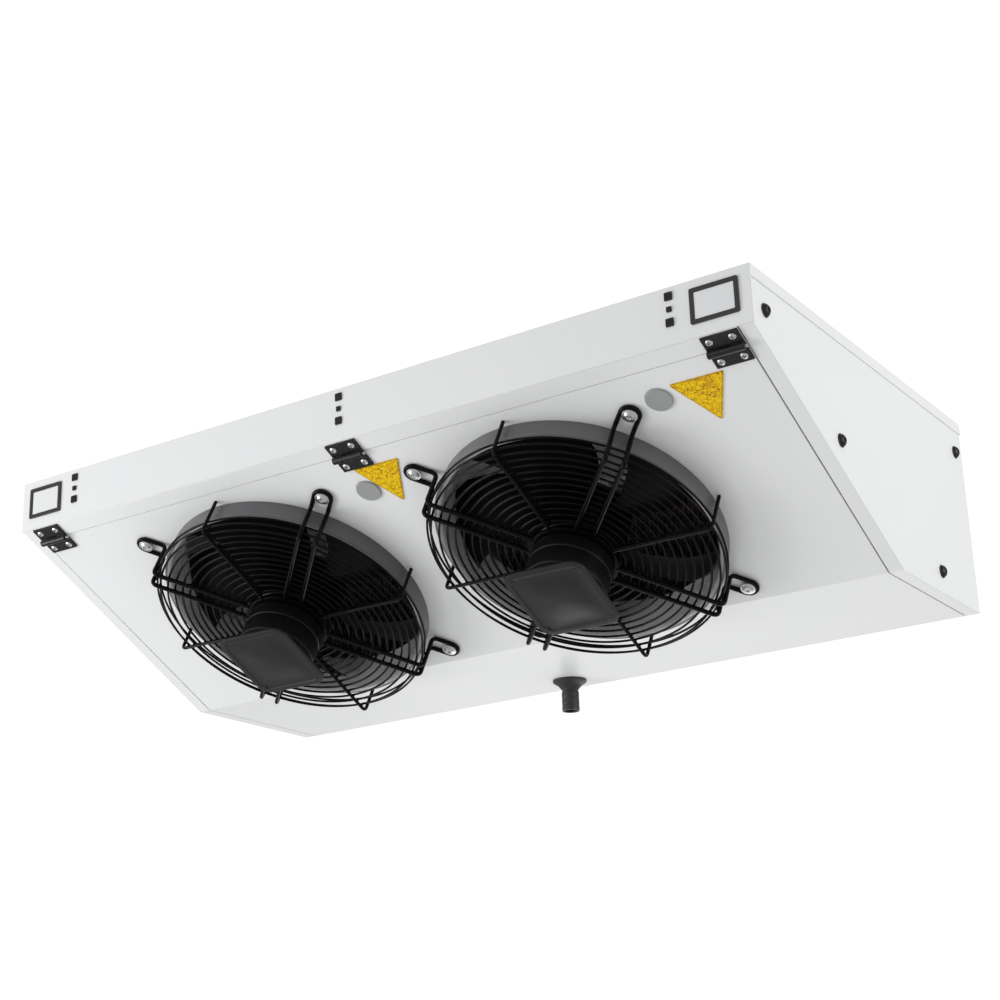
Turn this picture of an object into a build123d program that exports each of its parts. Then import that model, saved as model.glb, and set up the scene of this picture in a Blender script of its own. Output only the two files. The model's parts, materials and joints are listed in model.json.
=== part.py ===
"""Walk-in unit cooler: a ceiling-hung evaporator with two axial fans in a slanted, hinged fan panel.

Frame: origin at the middle of the four hanger holes on the roof's top face, which lies against the
ceiling. +X runs along the casing to the right as seen from the front, +Y runs from the front band to
the open coil face at the wall, +Z is up. All sizes are in millimetres.

The fan panel with its drip tray hangs on three hinges under the front band and swings down.
Each fan's motor sits on the outside of its wire guard; its rotor and blades turn in the shroud.
"""

import math
import os

from build123d import *

os.makedirs("parts", exist_ok=True)

# ---------------------------------------------------------------- casing
length = 1000.0  # roof, end to end
depth = 543.0  # front band to rear edge
height = 232.0  # roof to drip tray
band_height = 62.0  # vertical front band
slope_run = 321.0  # depth taken by the slanted panel
sheet = 1.2  # casing sheet metal
roof_lip = 13.0  # turned-down edge of the roof
end_flange = 16.0  # turned-in edge of each end cover
seam = 1.5  # open joint between the fan panel and its neighbours
bend_radius = 2.0  # rounding of an end cover's lower edges
fit_gap = 0.3  # air between neighbouring pieces that don't touch
rail_height = 34.0  # hinge rail, behind the band
frame_sheet = 1.5  # inner end frame

# ---------------------------------------------------------------- hinges of the fan panel
hinge_inset = 39.0  # middle of an outer hinge, from the casing's end
hinge_middle = -3.0  # middle hinge
hinge_width = 40.0
hinge_leaf = 20.0  # leaf, from the axis to its far edge
hinge_sheet = 2.6
hinge_barrel = 4.2  # knuckle radius
hinge_pin = 1.9  # pin radius
pin_clearance = 0.06
pin_overhang = 3.0  # pin past the last knuckle
hinge_down = 21.5  # hinge axis, down the slope from the front fold
hinge_hole_x = 12.5  # leaf screws, either side of the middle
hinge_hole_down = 13.0  # leaf screws, from the axis
leaf_hole = 2.2
leaf_screw_head = 4.0
leaf_screw_height = 1.8
head_taper = 20.0  # draft of the screw and plug heads

# ---------------------------------------------------------------- fan panel and drip tray
tray_wall = 34.0  # height of the tray's rear and end walls
panel_return = 12.0  # stiffening fold at the panel's top edge
wall_taper = 40.0  # end wall, from the panel's top to its full depth
wall_shoulder = 0.55  # place of the end wall's bend, as a share of the slope
wall_lead = 6.0  # end wall's top corner, behind the lower fold
drain_x = -30.0
drain_from_rear = 43.0
spigot_radius = 11.0
spigot_bore = 8.5
spigot_length = 40.0
thread_radius = 10.4  # spigot's thread through the tray
thread_height = 7.2
thread_gap = 0.1
drain_flange = 21.5
drain_flange_sheet = 2.5
drain_cone = 15.0  # widest part of the cone under the flange
drain_cone_start = 7.0
drain_cone_end = 13.0
drain_relief = 10.2  # neck between the cone and the hose end
drain_relief_end = 15.0
drain_nut_radius = 17.0
drain_nut_height = 5.0
tag_past_hinge = 21.0  # left blank tag, to the right of the middle hinge
tag_inset = 86.0  # right blank tag, from the casing's end
tag_downs = (43.0, 46.0)  # top edge of each tag, down the slope
tag_width = 61.0
tag_height = 59.0
tag_sheet = 1.2
tag_corner = 1.5
plug_before_hinge = 11.0  # left plug, to the left of the middle hinge
plug_inset = 135.0  # right plug, from the casing's end
plug_downs = (76.0, 60.0)
plug_radius = 15.0
plug_hole = 12.0
plug_head = 2.5
plug_stem = 5.0

# ---------------------------------------------------------------- fans
fan_pitch = 401.0
fan_middle = -8.5  # midway between the two fans
fan_down = 203.0  # fan axis, down the slope from the front fold
throat_radius = 154.0
shroud_radius = 162.0  # outside of the shroud's collar
shroud_height = 22.0
shroud_depth = 30.0  # throat, behind the panel
shroud_sheet = 1.6
rim_flare = 6.0  # height over which the throat opens at the rim
rim_width = 4.0  # throat to the rim's flat
rim_edge = 1.6
rim_inside = 0.6  # the rim's hidden bends, below its outer ones
guard_radius = 168.5  # upright part of the guard's arms
arm_level = 47.0  # arms over the panel
arm_wire = 2.6  # wire radius of the arms
spoke_wire = 2.1
ring_wire = 1.3  # wire radius of the rings
wire_gap = 0.05  # rings to arms, where they are spot welded
arm_spread = 20.0  # between the two wires of an arm
arm_bend = 5.0
foot_radius = 192.4  # fan axis to the middle of a foot loop
face_rings = 12
face_ring_first = 57.0
face_ring_last = 159.0
side_ring_levels = (28.5, 38.0)
arm_angles = (45.0, 135.0, 225.0, 315.0)
spoke_angles = (0.0, 90.0, 180.0, 270.0)
hub_plate_radius = 50.0
hub_plate_hole = 34.0
foot_screw_shank = 2.2
foot_screw_head = 8.6
foot_screw_height = 3.2

motor_radius = 46.0
motor_front = 100.0  # outer end of the motor's body, over the panel
motor_spigot = 33.5
motor_spigot_depth = 4.0  # motor spigot, inside the hub plate
cap_width = 99.0
cap_corner = 16.0
cap_sheet = 5.0
cap_edge = 1.5
shaft_radius = 6.0
shaft_clearance = 0.08
shaft_top = 92.0
bore_top = 94.0

rotor_radius = 47.0
rotor_gap = 1.0  # motor spigot to rotor
rotor_length = 68.0
rotor_edge = 4.0
blade_hub_sheet = 4.0
blade_hub_length = 64.0
blade_hub_step = 2.0  # rotor's end past the blade hub
blade_count = 5
blade_tip = 150.0
blade_sheet = 3.0
blade_level = -12.0  # middle of the blades, under the panel's face
# radius, turn about the axis, pitch and chord of each blade section
blade_sections = ((44.0, 0.0, 36.0, 50.0), (95.0, 9.0, 24.0, 88.0), (158.0, 27.0, 16.0, 112.0))

# ---------------------------------------------------------------- coil
coil_end_room = 80.0  # fins to the casing's ends
fin_pitch = 20.0
fin_sheet = 0.5
fin_depth = 134.0
fin_height = 172.0
coil_rear_gap = 16.0  # fins to the casing's rear edge
coil_top_gap = 22.0  # fins to the roof
tube_radius = 6.0
tube_wall = 0.8
tube_rows = 4
tube_layers = 5
row_pitch = 33.0
layer_pitch = 34.0
tube_overhang = 14.0  # straight tube past a tube sheet
tube_hole_gap = 0.15
tube_sheet_edge = 3.0  # tube sheet past the fins
tube_sheet_flange = 15.0
header_reach = 25.6  # suction header, past the tube ends
header_radius = 9.0
header_overrun = 14.0
suction_radius = 8.0
liquid_reach = 9.6  # liquid manifold, past the tube ends
liquid_manifold = 5.0
liquid_radius = 6.0
feeder_step = 1.5  # tube to manifold, smaller than the tube
stub_step = 0.5  # stub ahead of its sized end, smaller than the end
stub_grip = 15.0  # sized end of a stub
stub_inset = 4.0  # stub ends, inside the rear edge

# ---------------------------------------------------------------- hangers and electrical box
hanger_inset = 50.0  # hanger holes, from the casing's ends
hanger_edge = 71.5  # hanger holes, from the front and rear edges
hanger_hole = 5.5
bracket_width = 54.0
bracket_sheet = 2.0
bracket_flange = 56.0
bracket_end_gap = 4.8  # bracket to the front and rear edges
box_width = 47.0
box_length = 120.0
box_height = 46.0
box_wall = 2.0
box_y = -50.0
box_drop = 8.0  # box under the roof
lid_sheet = 2.5
gland_thread = 6.0
gland_bore = 4.0
gland_hex = 9.0
gland_dome = 7.5
gland_length = 15.0
gland_inside = 8.0

# ---------------------------------------------------------------- band trim and cover screws
cover_screw_head = 7.5
cover_screw_height = 5.0
cover_screw_shank = 2.5
cover_screw_reach = 16.4
screw_gap = 0.2
window_inset = 39.5  # middle of a window, from the casing's end
window_z = -29.0
window_width = 53.0
window_height = 38.0
window_frame = 4.5
window_proud = 1.8
window_cover_proud = 1.0
window_corner = 2.0
window_room = (4.0, 2.0)  # cut in the rail behind a window, past the window
rivet_inset = 89.0  # outer rivets, from the casing's ends
rivet_middle = -2.5
rivet_rows = ((-10.5, 4.3), (-24.5, 2.8), (-38.5, 4.3))  # height and half width of the square head
rivet_head = 1.6
rivet_shank = 1.6
rivet_reach = 2.3
rivet_corner = 0.8

# ---------------------------------------------------------------- derived places
y_front = -depth / 2
y_rear = depth / 2
y_fold = y_front + slope_run
slope = math.atan2(height - band_height, slope_run)
down_slope = Vector(0, math.cos(slope), -math.sin(slope))
outward = Vector(0, -math.sin(slope), -math.cos(slope))
slope_length = math.hypot(height - band_height, slope_run)
cover_face = length / 2 - sheet  # outer face of an end cover
tray_width = length - 2 * (sheet + end_flange + seam)
hinge_xs = (hinge_inset - length / 2, hinge_middle, length / 2 - hinge_inset)
tag_places = (  # middle and top edge
    (hinge_middle + tag_past_hinge, tag_downs[0]),
    (length / 2 - tag_inset, tag_downs[1]),
)
plug_places = (
    (hinge_middle - plug_before_hinge, plug_downs[0]),
    (length / 2 - plug_inset, plug_downs[1]),
)
window_x = length / 2 - window_inset
rivet_xs = (rivet_inset - length / 2, rivet_middle, length / 2 - rivet_inset)
hanger_x = length - 2 * hanger_inset
hanger_y = depth - 2 * hanger_edge
coil_length = length - 2 * coil_end_room
hinge_out = hinge_barrel + fit_gap  # hinge axis, out of the panel's face
knuckle = hinge_width / 3
coil_y = y_rear - coil_rear_gap - fin_depth / 2
coil_z = -sheet - coil_top_gap - fin_height / 2
row_ys = [coil_y + (row - (tube_rows - 1) / 2) * row_pitch for row in range(tube_rows)]
layer_zs = [coil_z + (layer - (tube_layers - 1) / 2) * layer_pitch for layer in range(tube_layers)]
tube_spots = [(y, z) for y in row_ys for z in layer_zs]
tube_end = coil_length / 2 + 2 * sheet + tube_overhang
header_x = tube_end + header_reach
liquid_x = tube_end + liquid_reach
drain_y = y_rear - drain_from_rear
tray_rear = y_rear - sheet - seam
frame_face = cover_face - end_flange + frame_sheet  # outer face of an inner end frame
bracket_face = frame_face - frame_sheet - fit_gap
sides = {"left": -1, "right": 1}
fan_xs = {side: fan_middle + sign * fan_pitch / 2 for side, sign in sides.items()}
cover_screw_spots = (
    (y_front + 29.0, -40.0),
    (y_front + 185.0, -127.0),
    (y_rear - 23.0, -41.0),
    (y_rear - 109.5, -207.0),
)


def on_panel(x, down, out=0.0):
    """Point on the slanted panel: place along X, distance down the slope, distance out of its face."""
    return Vector(x, y_front, -band_height) + down_slope * down + outward * out


def panel_plane(x=0.0, down=0.0, out=0.0):
    """Plane on the slanted panel: +Z out of its face, +Y up the slope."""
    return Plane(origin=on_panel(x, down, out), x_dir=(1, 0, 0), z_dir=outward)


def side_view(down, out=0.0):
    """A point on the slanted panel in the casing's side view."""
    point = on_panel(0, down, out)
    return (point.Y, point.Z)


def hinge_plane(x):
    """Plane square to the hinge axis at x: +Z along +X, +X out of the panel's face."""
    return Plane(origin=on_panel(x, hinge_down, hinge_out), x_dir=outward, z_dir=(1, 0, 0))


def save(part, name):
    """Labels one finished sub-part and writes its STEP file."""
    part.label = name
    export_step(part, f"parts/{name}.step")


def leaf_screw_spots(direction):
    """Leaf screws in the panel's plane, up the slope (+1) or down it (-1) from the hinge axis."""
    across = [x + sx * hinge_hole_x for x in hinge_xs for sx in (-1, 1)]
    return [(x, -hinge_down + direction * hinge_hole_down) for x in across]


# ---------------------------------------------------------------- roof with its front band
with BuildPart() as top_cover:
    Box(length, depth, roof_lip, align=(Align.CENTER, Align.CENTER, Align.MAX))
    with Locations((0, 0, -sheet)):
        Box(
            length - 2 * sheet,
            depth - 2 * sheet,
            roof_lip,
            align=(Align.CENTER, Align.CENTER, Align.MAX),
            mode=Mode.SUBTRACT,
        )
    with Locations((0, y_front, 0)):
        Box(length, sheet, band_height, align=(Align.CENTER, Align.MIN, Align.MAX))
    fillet(top_cover.edges().filter_by(Axis.X).group_by(Axis.Z)[-1], sheet * 0.9)
    with GridLocations(hanger_x, hanger_y, 2, 2):
        Hole(hanger_hole)
    with BuildSketch(Plane.XZ.offset(-y_front)):
        with Locations((-window_x, window_z), (window_x, window_z)):
            Rectangle(window_width - 2 * window_frame, window_height - 2 * window_frame)
        with Locations(*[(x, z) for x in rivet_xs for z, half in rivet_rows]):
            Circle(rivet_shank + screw_gap)
    extrude(amount=2 * sheet, both=True, mode=Mode.SUBTRACT)
save(top_cover.part, "top_cover")

# the rail behind the front fold carries the fixed hinge leaves
with BuildPart() as hinge_rail:
    with BuildSketch(Plane.YZ.offset(-tray_width / 2)):
        with BuildLine():
            Polyline(
                (y_front + sheet, -band_height + rail_height),
                side_view(sheet / math.cos(slope)),
                side_view(hinge_down - fit_gap),
            )
            offset(amount=sheet, side=Side.LEFT)
        make_face()
    extrude(amount=tray_width)
    with BuildSketch(Plane.XZ.offset(-y_front)):
        with Locations((-window_x, window_z), (window_x, window_z)):
            Rectangle(window_width + window_room[0], window_height + window_room[1])
        with Locations(*[(x, rivet_rows[-1][0]) for x in rivet_xs]):
            Circle(rivet_shank + screw_gap)
    extrude(amount=-4 * sheet, mode=Mode.SUBTRACT)
    with BuildSketch(panel_plane(out=1.0)):
        with Locations(*leaf_screw_spots(1)):
            Circle(leaf_hole)
    extrude(amount=-3 * sheet, mode=Mode.SUBTRACT)
save(hinge_rail.part, "hinge_rail")

# ---------------------------------------------------------------- end covers, frames and hangers
end_outline = [
    (y_front + sheet, -sheet),
    (y_rear - sheet, -sheet),
    (y_rear - sheet, -height),
    (y_fold, -height),
    (y_front + sheet, -band_height),
]
for side, sign in sides.items():
    with BuildPart() as end_cover:
        with BuildSketch(Plane.YZ.offset(sign * cover_face)):
            Polygon(*end_outline, align=None)
        extrude(amount=-sign * end_flange)
        fillet(end_cover.edges().filter_by(Axis.X).group_by(Axis.Z)[0], bend_radius)
        with BuildSketch(Plane.YZ.offset(sign * (cover_face - sheet))):
            Polygon(*end_outline, align=None)
            offset(amount=-sheet, mode=Mode.REPLACE)
        extrude(amount=-sign * end_flange, mode=Mode.SUBTRACT)
        with BuildSketch(Plane.YZ.offset(sign * cover_face)):
            with Locations(*cover_screw_spots):
                Circle(cover_screw_shank + screw_gap)
        extrude(amount=2 * sheet, both=True, mode=Mode.SUBTRACT)
    save(end_cover.part, f"end_cover_{side}")

    with BuildPart() as end_frame:
        with BuildSketch(Plane.YZ.offset(sign * frame_face)):
            Polygon(*end_outline, align=None)
            offset(amount=-sheet - fit_gap, kind=Kind.INTERSECTION, mode=Mode.REPLACE)
            with Locations(*cover_screw_spots):
                Circle(cover_screw_shank + screw_gap, mode=Mode.SUBTRACT)
        extrude(amount=-sign * frame_sheet)
    save(end_frame.part, f"end_frame_{side}")

    with BuildPart() as hanger_bracket:
        with BuildSketch(Plane.XZ):
            with BuildLine():
                Polyline(
                    (sign * bracket_face, -sheet - bracket_flange),
                    (sign * bracket_face, -sheet),
                    (sign * (bracket_face - bracket_width), -sheet),
                )
                offset(amount=bracket_sheet, side=Side.RIGHT if sign < 0 else Side.LEFT)
            make_face()
        extrude(amount=y_rear - bracket_end_gap, both=True)
        with GridLocations(hanger_x, hanger_y, 2, 2):
            Cylinder(hanger_hole, 8 * bracket_sheet, mode=Mode.SUBTRACT)
        with BuildSketch(Plane.YZ.offset(sign * bracket_face)):
            with Locations(cover_screw_spots[0], cover_screw_spots[2]):
                Circle(cover_screw_shank + screw_gap)
        extrude(amount=2 * bracket_sheet, both=True, mode=Mode.SUBTRACT)
    save(hanger_bracket.part, f"hanger_bracket_{side}")

with BuildPart() as cover_screws:
    for sign in sides.values():
        with BuildSketch(Plane.YZ.offset(sign * cover_face)):
            with Locations(*cover_screw_spots):
                Circle(cover_screw_head)
        extrude(amount=sign * cover_screw_height)
    fillet(cover_screws.edges().group_by(Axis.X)[0], cover_screw_height * 0.7)
    fillet(cover_screws.edges().group_by(Axis.X)[-1], cover_screw_height * 0.7)
    for sign in sides.values():
        with BuildSketch(Plane.YZ.offset(sign * cover_face)):
            with Locations(*cover_screw_spots):
                Circle(cover_screw_shank)
        extrude(amount=-sign * cover_screw_reach)
save(cover_screws.part, "cover_screws")

# ---------------------------------------------------------------- trim on the front band
with BuildPart() as band_rivets:
    for rivet_z, half_head in rivet_rows:
        with BuildSketch(Plane.XZ.offset(-y_front)):
            with Locations(*[(x, rivet_z) for x in rivet_xs]):
                RectangleRounded(2 * half_head, 2 * half_head, rivet_corner)
        extrude(amount=rivet_head)
        with BuildSketch(Plane.XZ.offset(-y_front)):
            with Locations(*[(x, rivet_z) for x in rivet_xs]):
                Circle(rivet_shank)
        extrude(amount=-rivet_reach)
save(band_rivets.part, "band_rivets")

with BuildPart() as window_frames:
    with BuildSketch(Plane.XZ.offset(-y_front)):
        with Locations((-window_x, window_z), (window_x, window_z)):
            RectangleRounded(window_width, window_height, window_corner)
            Rectangle(
                window_width - 2 * window_frame,
                window_height - 2 * window_frame,
                mode=Mode.SUBTRACT,
            )
    extrude(amount=window_proud)
save(window_frames.part, "window_frames")

with BuildPart() as window_covers:
    with BuildSketch(Plane.XZ.offset(-y_front)):
        with Locations((-window_x, window_z), (window_x, window_z)):
            Rectangle(
                window_width - 2 * window_frame - 2 * fit_gap,
                window_height - 2 * window_frame - 2 * fit_gap,
            )
    extrude(amount=window_cover_proud, both=True)
save(window_covers.part, "window_covers")

# ---------------------------------------------------------------- hinges
hinge_kinds = {"fixed": (1, (-knuckle, knuckle)), "moving": (-1, (0.0,))}
for kind, (direction, own_knuckles) in hinge_kinds.items():
    with BuildPart() as hinge_leaves:
        with BuildSketch(panel_plane(down=hinge_down)):
            with Locations(*[(x, direction * (hinge_leaf + fit_gap) / 2) for x in hinge_xs]):
                Rectangle(hinge_width, hinge_leaf - fit_gap)
        extrude(amount=hinge_sheet)
        with BuildSketch(panel_plane()):
            with Locations(*leaf_screw_spots(direction)):
                Circle(leaf_hole)
        extrude(amount=hinge_sheet, mode=Mode.SUBTRACT)
        for hinge_x in hinge_xs:
            for place in (-knuckle, 0.0, knuckle):
                own = place in own_knuckles
                wide = knuckle - fit_gap if own else knuckle + fit_gap
                with BuildSketch(hinge_plane(hinge_x + place - wide / 2)):
                    Circle(hinge_barrel if own else hinge_barrel + fit_gap)
                extrude(amount=wide, mode=Mode.ADD if own else Mode.SUBTRACT)
            with BuildSketch(hinge_plane(hinge_x - hinge_width / 2)):
                Circle(hinge_pin + pin_clearance)
            extrude(amount=hinge_width, mode=Mode.SUBTRACT)
    save(hinge_leaves.part, f"hinge_leaves_{kind}")

    with BuildPart() as hinge_screws:
        with BuildSketch(panel_plane(out=hinge_sheet)):
            with Locations(*leaf_screw_spots(direction)):
                Circle(leaf_screw_head)
        extrude(amount=leaf_screw_height, taper=head_taper)
        with BuildSketch(panel_plane(out=hinge_sheet)):
            with Locations(*leaf_screw_spots(direction)):
                Circle(leaf_hole - screw_gap)
        extrude(amount=-hinge_sheet - 2 * sheet)
    save(hinge_screws.part, f"hinge_screws_{kind}")

with BuildPart() as hinge_pins:
    for hinge_x in hinge_xs:
        with BuildSketch(hinge_plane(hinge_x - hinge_width / 2)):
            Circle(hinge_pin)
        extrude(amount=hinge_width + pin_overhang)
save(hinge_pins.part, "hinge_pins")

# ---------------------------------------------------------------- fan panel with its drip tray
panel_top = hinge_down + fit_gap
throat_hole = throat_radius + shroud_sheet + screw_gap
wall_outline = [
    side_view(panel_top, -panel_return),
    side_view(panel_top),
    (y_fold, -height),
    (tray_rear, -height),
    (tray_rear, -height + tray_wall),
    (y_fold + wall_lead, -height + tray_wall),
    side_view(slope_length * wall_shoulder, -tray_wall),
    side_view(panel_top + wall_taper, -panel_return),
]
with BuildPart() as fan_panel:
    with BuildSketch(Plane.YZ.offset(-tray_width / 2)):
        with BuildLine():
            Polyline(
                side_view(panel_top, -panel_return),
                side_view(panel_top),
                (y_fold, -height),
                (tray_rear, -height),
            )
            offset(amount=sheet, side=Side.LEFT)
        make_face()
    extrude(amount=tray_width)
    for sign in sides.values():
        with BuildSketch(Plane.YZ.offset(sign * tray_width / 2)):
            Polygon(*wall_outline, align=None)
        extrude(amount=-sign * sheet)
    with BuildSketch(panel_plane(out=1.0)):
        with Locations(*[(x, -fan_down) for x in fan_xs.values()]):
            Circle(throat_hole)
        for fan_x in fan_xs.values():
            with Locations((fan_x, -fan_down)):
                with PolarLocations(foot_radius, len(arm_angles), start_angle=arm_angles[0]):
                    Circle(foot_screw_shank + screw_gap)
        with Locations(*leaf_screw_spots(-1)):
            Circle(leaf_hole)
        with Locations(*[(x, -down) for x, down in plug_places]):
            Circle(plug_hole)
    extrude(amount=-3 * sheet, mode=Mode.SUBTRACT)
    with BuildSketch(Plane.XY.offset(-height - 1.0)):
        with Locations((drain_x, drain_y)):
            Circle(thread_radius + screw_gap)
    extrude(amount=3 * sheet, mode=Mode.SUBTRACT)
save(fan_panel.part, "fan_panel")

# the tray's rear wall is a strip welded between the end walls
with BuildPart() as tray_back:
    with Locations((0, tray_rear, -height + sheet)):
        Box(
            tray_width - 2 * sheet,
            sheet,
            tray_wall - sheet,
            align=(Align.CENTER, Align.MAX, Align.MIN),
        )
save(tray_back.part, "tray_back")

with BuildPart() as blank_tags:
    with BuildSketch(panel_plane()):
        for tag_x, tag_down in tag_places:
            with BuildLine():
                Polyline(
                    (tag_x - tag_width / 2, -tag_down),
                    (tag_x + tag_width / 2, -tag_down),
                    (tag_x, -tag_down - tag_height),
                    close=True,
                )
            make_face()
    extrude(amount=tag_sheet)
    fillet(blank_tags.edges().filter_by(lambda edge: abs(edge.length - tag_sheet) < 0.01), tag_corner)
save(blank_tags.part, "blank_tags")

with BuildPart() as panel_plugs:
    with BuildSketch(panel_plane()):
        with Locations(*[(x, -down) for x, down in plug_places]):
            Circle(plug_radius)
    extrude(amount=plug_head, taper=head_taper)
    with BuildSketch(panel_plane()):
        with Locations(*[(x, -down) for x, down in plug_places]):
            Circle(plug_hole - screw_gap)
    extrude(amount=-plug_stem)
save(panel_plugs.part, "panel_plugs")

with BuildPart() as drain_spigot:
    with BuildSketch(Plane.XZ):
        with BuildLine():
            Polyline(
                (spigot_bore, thread_height),
                (thread_radius, thread_height),
                (thread_radius, 0),
                (drain_flange, 0),
                (drain_flange, -drain_flange_sheet),
                (drain_cone, -drain_cone_start),
                (drain_relief, -drain_cone_end),
                (drain_relief, -drain_relief_end),
                (spigot_radius, -drain_relief_end),
                (spigot_radius, -spigot_length),
                (spigot_bore, -spigot_length),
                close=True,
            )
        make_face()
    revolve(axis=Axis.Z)
with BuildPart() as placed_spigot:
    with Locations((drain_x, drain_y, -height)):
        add(drain_spigot.part)
save(placed_spigot.part, "drain_spigot")

with BuildPart() as drain_nut:
    with BuildSketch(Plane.XY.offset(-height + sheet)):
        with Locations((drain_x, drain_y)):
            RegularPolygon(drain_nut_radius, 6)
            Circle(thread_radius + thread_gap, mode=Mode.SUBTRACT)
    extrude(amount=drain_nut_height)
save(drain_nut.part, "drain_nut")

# ---------------------------------------------------------------- one fan, about +Z out of the panel
with BuildPart() as shroud:
    with BuildSketch(Plane.XZ):
        with BuildLine():
            Polyline(
                (throat_radius, -shroud_depth),
                (throat_radius, shroud_height - rim_flare),
                (throat_radius + rim_edge, shroud_height - rim_edge),
                (throat_radius + rim_width, shroud_height),
                (shroud_radius - rim_edge, shroud_height),
                (shroud_radius, shroud_height - rim_edge),
                (shroud_radius, 0),
                (shroud_radius - shroud_sheet, 0),
                (shroud_radius - shroud_sheet, shroud_height - rim_edge - rim_inside),
                (throat_radius + rim_width, shroud_height - shroud_sheet - rim_inside / 2),
                (throat_radius + shroud_sheet + rim_edge, shroud_height - rim_edge - rim_inside),
                (throat_radius + shroud_sheet, shroud_height - rim_flare - rim_inside),
                (throat_radius + shroud_sheet, -shroud_depth),
                close=True,
            )
        make_face()
    revolve(axis=Axis.Z)

arm_path = [
    (hub_plate_radius + wire_gap, arm_spread / 2, arm_level),
    (guard_radius, arm_spread / 2, arm_level),
    (guard_radius, arm_spread / 2, arm_wire),
    (foot_radius, arm_spread / 2, arm_wire),
]
arm_return = [(x, -y, z) for x, y, z in reversed(arm_path)]
with BuildPart() as guard_arm:
    with BuildLine() as arm_line:
        FilletPolyline(*arm_path, radius=arm_bend)
        ThreePointArc(arm_path[-1], (foot_radius + arm_spread / 2, 0, arm_wire), arm_return[0])
        FilletPolyline(*arm_return, radius=arm_bend)
    with BuildSketch(Plane(origin=arm_path[0], z_dir=(1, 0, 0))):
        Circle(arm_wire)
    sweep(path=arm_line.line)

spoke_path = [
    (hub_plate_radius + wire_gap, 0, arm_level),
    (guard_radius, 0, arm_level),
    (guard_radius, 0, fit_gap),
]
with BuildPart() as guard_spoke:
    with BuildLine() as spoke_line:
        FilletPolyline(*spoke_path, radius=arm_bend)
    with BuildSketch(Plane(origin=spoke_path[0], z_dir=(1, 0, 0))):
        Circle(spoke_wire)
    sweep(path=spoke_line.line)

with BuildPart() as guard_arms:
    for angle in arm_angles:
        with Locations(Location((0, 0, 0), (0, 0, angle))):
            add(guard_arm.part)

with BuildPart() as guard_spokes:
    for angle in spoke_angles:
        with Locations(Location((0, 0, 0), (0, 0, angle))):
            add(guard_spoke.part)

ring_step = (face_ring_last - face_ring_first) / (face_rings - 1)
with BuildPart() as guard_face_rings:
    with Locations((0, 0, arm_level - arm_wire - ring_wire - wire_gap)):
        for index in range(face_rings):
            Torus(face_ring_first + index * ring_step, ring_wire)

with BuildPart() as guard_side_rings:
    for level in side_ring_levels:
        with Locations((0, 0, level)):
            Torus(guard_radius - arm_wire - ring_wire - wire_gap, ring_wire)

with BuildPart() as guard_hub:
    with Locations((0, 0, arm_level)):
        Cylinder(hub_plate_radius, 2 * arm_wire)
        Cylinder(hub_plate_hole, 2 * arm_wire, mode=Mode.SUBTRACT)

hub_top = arm_level + arm_wire
spigot_end = arm_level - arm_wire - motor_spigot_depth
with BuildPart() as motor_body:
    with BuildSketch(Plane.XY.offset(hub_top)):
        Circle(motor_radius)
    extrude(amount=motor_front - hub_top)
    with BuildSketch(Plane.XY.offset(spigot_end)):
        Circle(motor_spigot)
    extrude(amount=hub_top - spigot_end)
    with BuildSketch(Plane.XY.offset(spigot_end)):
        Circle(shaft_radius + shaft_clearance)
    extrude(amount=bore_top - spigot_end, mode=Mode.SUBTRACT)

with BuildPart() as motor_cap:
    with BuildSketch(Plane.XY.offset(motor_front)):
        RectangleRounded(cap_width, cap_width, cap_corner)
    extrude(amount=cap_sheet)
    fillet(motor_cap.edges().group_by(Axis.Z)[-1], cap_edge)

head_edge = arm_spread / 2 - foot_screw_head  # a foot screw's head, inside the loop's centre line
foot_seat = arm_wire + math.sqrt(arm_wire**2 - head_edge**2) + wire_gap
with BuildPart() as foot_screws:
    with BuildSketch(Plane.XY.offset(foot_seat)):
        with PolarLocations(foot_radius, len(arm_angles), start_angle=arm_angles[0]):
            Circle(foot_screw_head)
    extrude(amount=foot_screw_height)
    fillet(foot_screws.edges().group_by(Axis.Z)[-1], foot_screw_height * 0.6)
    with BuildSketch(Plane.XY.offset(foot_seat)):
        with PolarLocations(foot_radius, len(arm_angles), start_angle=arm_angles[0]):
            Circle(foot_screw_shank)
    extrude(amount=-foot_seat - 4 * sheet)

rotor_top = spigot_end - rotor_gap
with BuildPart() as rotor:
    with BuildSketch(Plane.XY.offset(rotor_top)):
        Circle(rotor_radius)
    extrude(amount=-rotor_length)
    fillet(rotor.edges().group_by(Axis.Z)[0], rotor_edge)
    with BuildSketch(Plane.XY.offset(rotor_top)):
        Circle(shaft_radius)
    extrude(amount=shaft_top - rotor_top)

with BuildPart() as blade:
    for section_radius, turn, pitch, chord in blade_sections:
        radial = Vector(1, 0, 0).rotate(Axis.Z, turn)
        tangent = Vector(0, 1, 0).rotate(Axis.Z, turn)
        place = radial * section_radius + Vector(0, 0, blade_level)
        with BuildSketch(Plane(origin=place, x_dir=tangent, z_dir=radial)):
            SlotOverall(chord, blade_sheet, rotation=pitch)
    loft()

hub_ring_top = rotor_top - blade_hub_step
with BuildPart() as impeller:
    with PolarLocations(0, blade_count):
        add(blade.part)
    with BuildSketch(Plane.XY.offset(rotor_top)):
        Circle(blade_tip)
    extrude(amount=-2 * rotor_length, mode=Mode.INTERSECT)
    with BuildSketch(Plane.XY.offset(hub_ring_top)):
        Circle(rotor_radius + blade_hub_sheet)
    extrude(amount=-blade_hub_length)
    with BuildSketch(Plane.XY.offset(rotor_top)):
        Circle(rotor_radius)
    extrude(amount=-2 * rotor_length, mode=Mode.SUBTRACT)

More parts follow.
